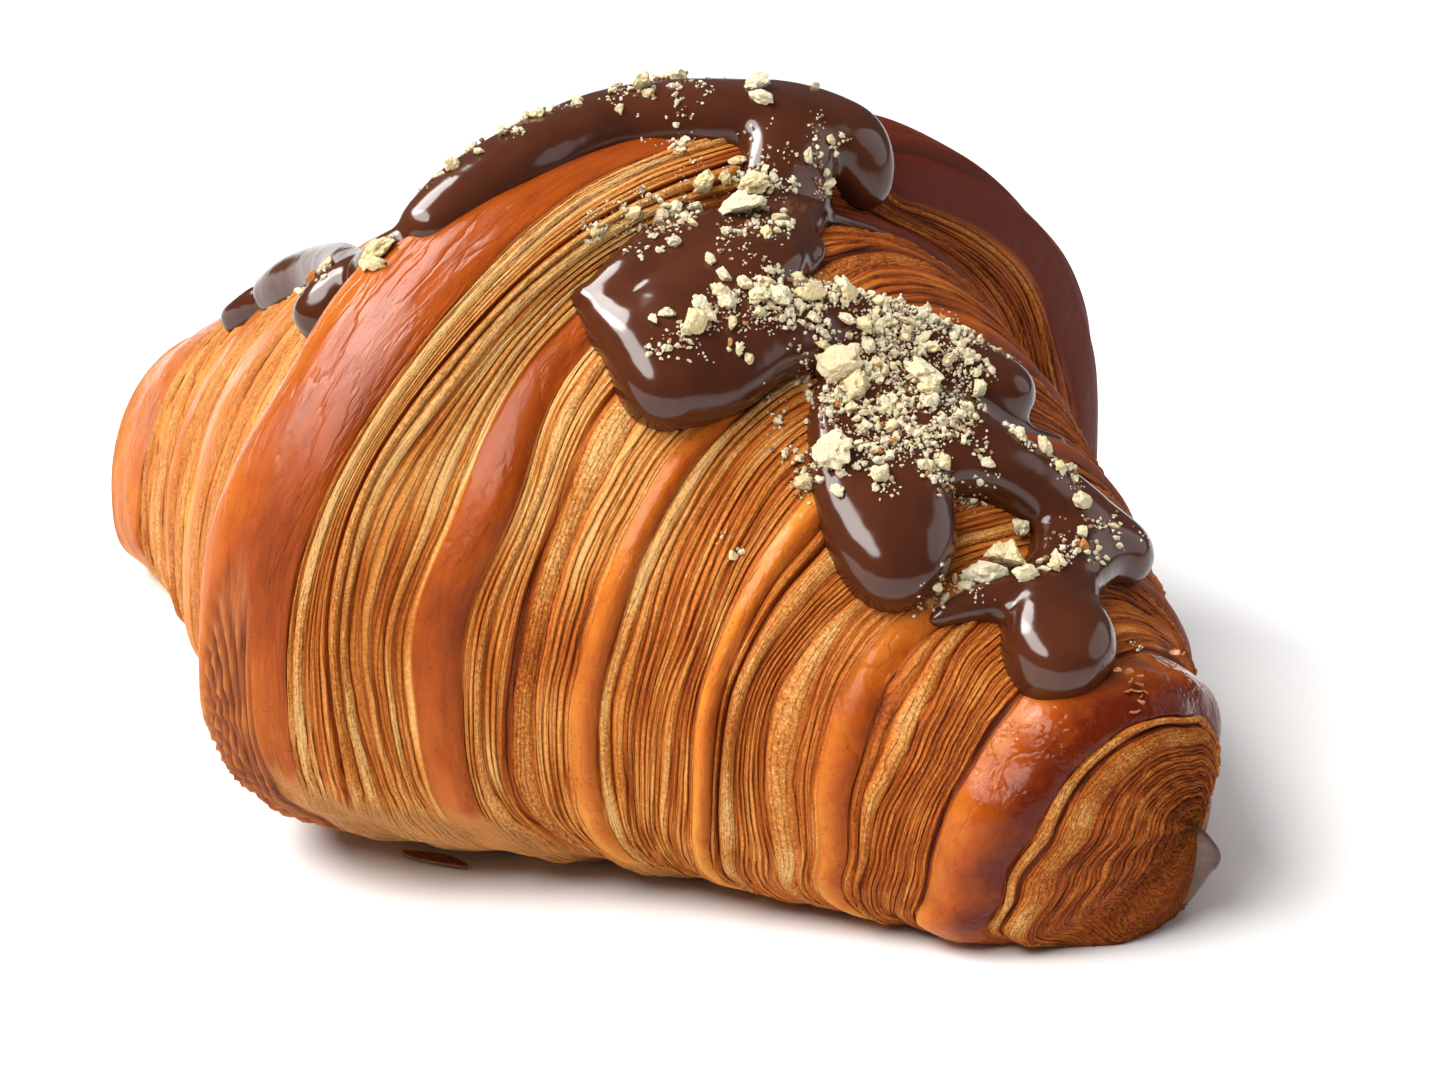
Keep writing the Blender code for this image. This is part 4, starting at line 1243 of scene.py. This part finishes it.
def tongue_material():
    """A thin sheet of dough that lets some light through; its dark grey-brown colour is painted shade, darker
    still along its free edge.
    """
    look = Look("thin dough sheet in painted shade")
    streak = look.streaks(look.place(), (0.6, 0.6, 2.0), 4.0)
    shown = look.ramp(streak, (0.3, (84, 58, 46)), (0.7, (112, 84, 68)))
    return look.finished({
        "Base Color": look.mix(look.attribute("rim"), shown, colour(70, 38, 30)),
        "Roughness": 0.35,
        "Subsurface Weight": 0.3,
        "Subsurface Scale": 1.5 * MM,
    })


def flake_material():
    """Dark, dry crust."""
    look = Look("crust flake")
    streak = look.streaks(look.place(), (0.5, 2.0, 2.0), 4.0)
    shown = look.ramp(streak, (0.3, (124, 66, 34)), (0.7, (186, 122, 72)))
    return look.finished({"Base Color": shown, "Roughness": 0.5})


def floor_material():
    look = Look("pale floor")
    return look.finished({"Base Color": (0.9, 0.9, 0.9, 1.0), "Roughness": 0.9, "Specular IOR Level": 0.2})


def direction(turned, up):
    """Unit vector from the croissant: degrees round from the camera's side, to the left below 0, and up."""
    turn = math.radians(CAMERA_TURN + turned)
    rise = math.radians(up)
    return Vector((math.sin(turn) * math.cos(rise), -math.cos(turn) * math.cos(rise), math.sin(rise)))


def aimed(name, data, place, back):
    """A light or camera at a place, with its back to the given direction."""
    made = linked(name, data)
    made.location = place
    made.rotation_mode = "QUATERNION"
    made.rotation_quaternion = back.to_track_quat("Z", "Y")
    return made


def area_light(name, turned, up, distance, size, watts, tint=(1.0, 1.0, 1.0)):
    """A soft box that lights the croissant from a direction."""
    data = bpy.data.lights.new(name, "AREA")
    data.shape = "ELLIPSE"
    data.size, data.size_y = size
    data.energy = watts
    data.color = tint
    back = direction(turned, up)
    return aimed(name, data, Vector(LIGHT_AIM) + back * distance, back)


def studio():
    """Plain pale floor and soft light."""
    bpy.ops.mesh.primitive_plane_add(size=6.0)
    floor = bpy.context.object
    floor.name = "floor"
    floor.data.materials.append(floor_material())
    floor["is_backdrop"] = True
    world = bpy.data.worlds.new("studio")
    world.use_nodes = True
    world.node_tree.nodes["Background"].inputs["Color"].default_value = (0.125, 0.125, 0.13, 1.0)
    bpy.context.scene.world = world
    area_light("key", turned=-68, up=53, distance=1.4, size=(2.1, 0.8), watts=44.5, tint=WARM)
    sheen = area_light("side sheen", turned=-122, up=50, distance=1.4, size=(1.0, 0.8), watts=26.0, tint=WARM)
    sheen.visible_diffuse = False
    area_light("reflector", turned=100, up=20, distance=1.2, size=(1.1, 0.8), watts=2.6, tint=COOL)
    ceiling = area_light("ceiling", turned=0, up=84, distance=1.4, size=(1.4, 1.4), watts=6.5)
    ceiling.visible_glossy = False
    bpy.context.scene.view_settings.view_transform = "Standard"


def photo_camera():
    """The camera that took the photo."""
    data = bpy.data.cameras.new("camera")
    data.sensor_width = SENSOR
    data.lens = FOCAL_PIXELS / PHOTO_WIDTH * SENSOR
    data.clip_start = 0.01
    place = (Vector(CAMERA_AT) + Vector(CENTRING)) * MM
    bpy.context.scene.camera = aimed("camera", data, place, direction(0, CAMERA_DOWN))


def finish_piece(made, *materials, slot=None, node=None):
    made.data.materials.clear()
    for material in materials:
        made.data.materials.append(material)
    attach(made, "root")
    if node:
        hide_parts(node)


def main():
    dough = pastry_piece()
    chocolate = chocolate_piece()
    graph = bpy.context.evaluated_depsgraph_get()
    surfaces = [BVHTree.FromObject(piece, graph) for piece in (dough, chocolate)]
    places = [(station, degrees, 0, 0, 0, length) for station, degrees, length in CHUNKS]
    chunks = nut_piece("hazelnut_chunks", places, surfaces, subdivisions=4, seed=5, depth=0.6, sink=0.15)
    places = crumb_places(seed=23, share=0.9, longest=1.8, shortest=0.5, pace=3.0)
    crumbs = nut_piece("hazelnut_crumbs", places, surfaces, subdivisions=2, seed=6, depth=0.8, sink=0.1)
    places = crumb_places(seed=24, share=1.6, longest=0.7, shortest=0.28, pace=8.0)
    grit = nut_piece("hazelnut_grit", places, surfaces, subdivisions=1, seed=7, depth=0.8, sink=0.1)
    tongue = tongue_piece()
    flakes = flake_piece()
    layered = dough_material("baked layers", gloss=0.15)
    glazed = dough_material("glazed skin", gloss=0.6)
    finish_piece(dough, layered, glazed, slot="baked_dough", node="pastry")
    finish_piece(tongue, tongue_material(), slot="baked_dough")
    finish_piece(flakes, flake_material(), slot="baked_dough")
    finish_piece(chocolate, chocolate_material(), slot="milk_chocolate", node="chocolate")
    nuts = nut_material()
    for piece in (chunks, crumbs, grit):
        finish_piece(piece, nuts)
    studio()
    photo_camera()


main()
boxes = [CAD_BOX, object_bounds()]
{name: [list(corner) for corner in box] for name, box in zip(("cad", "visual"), boxes)}
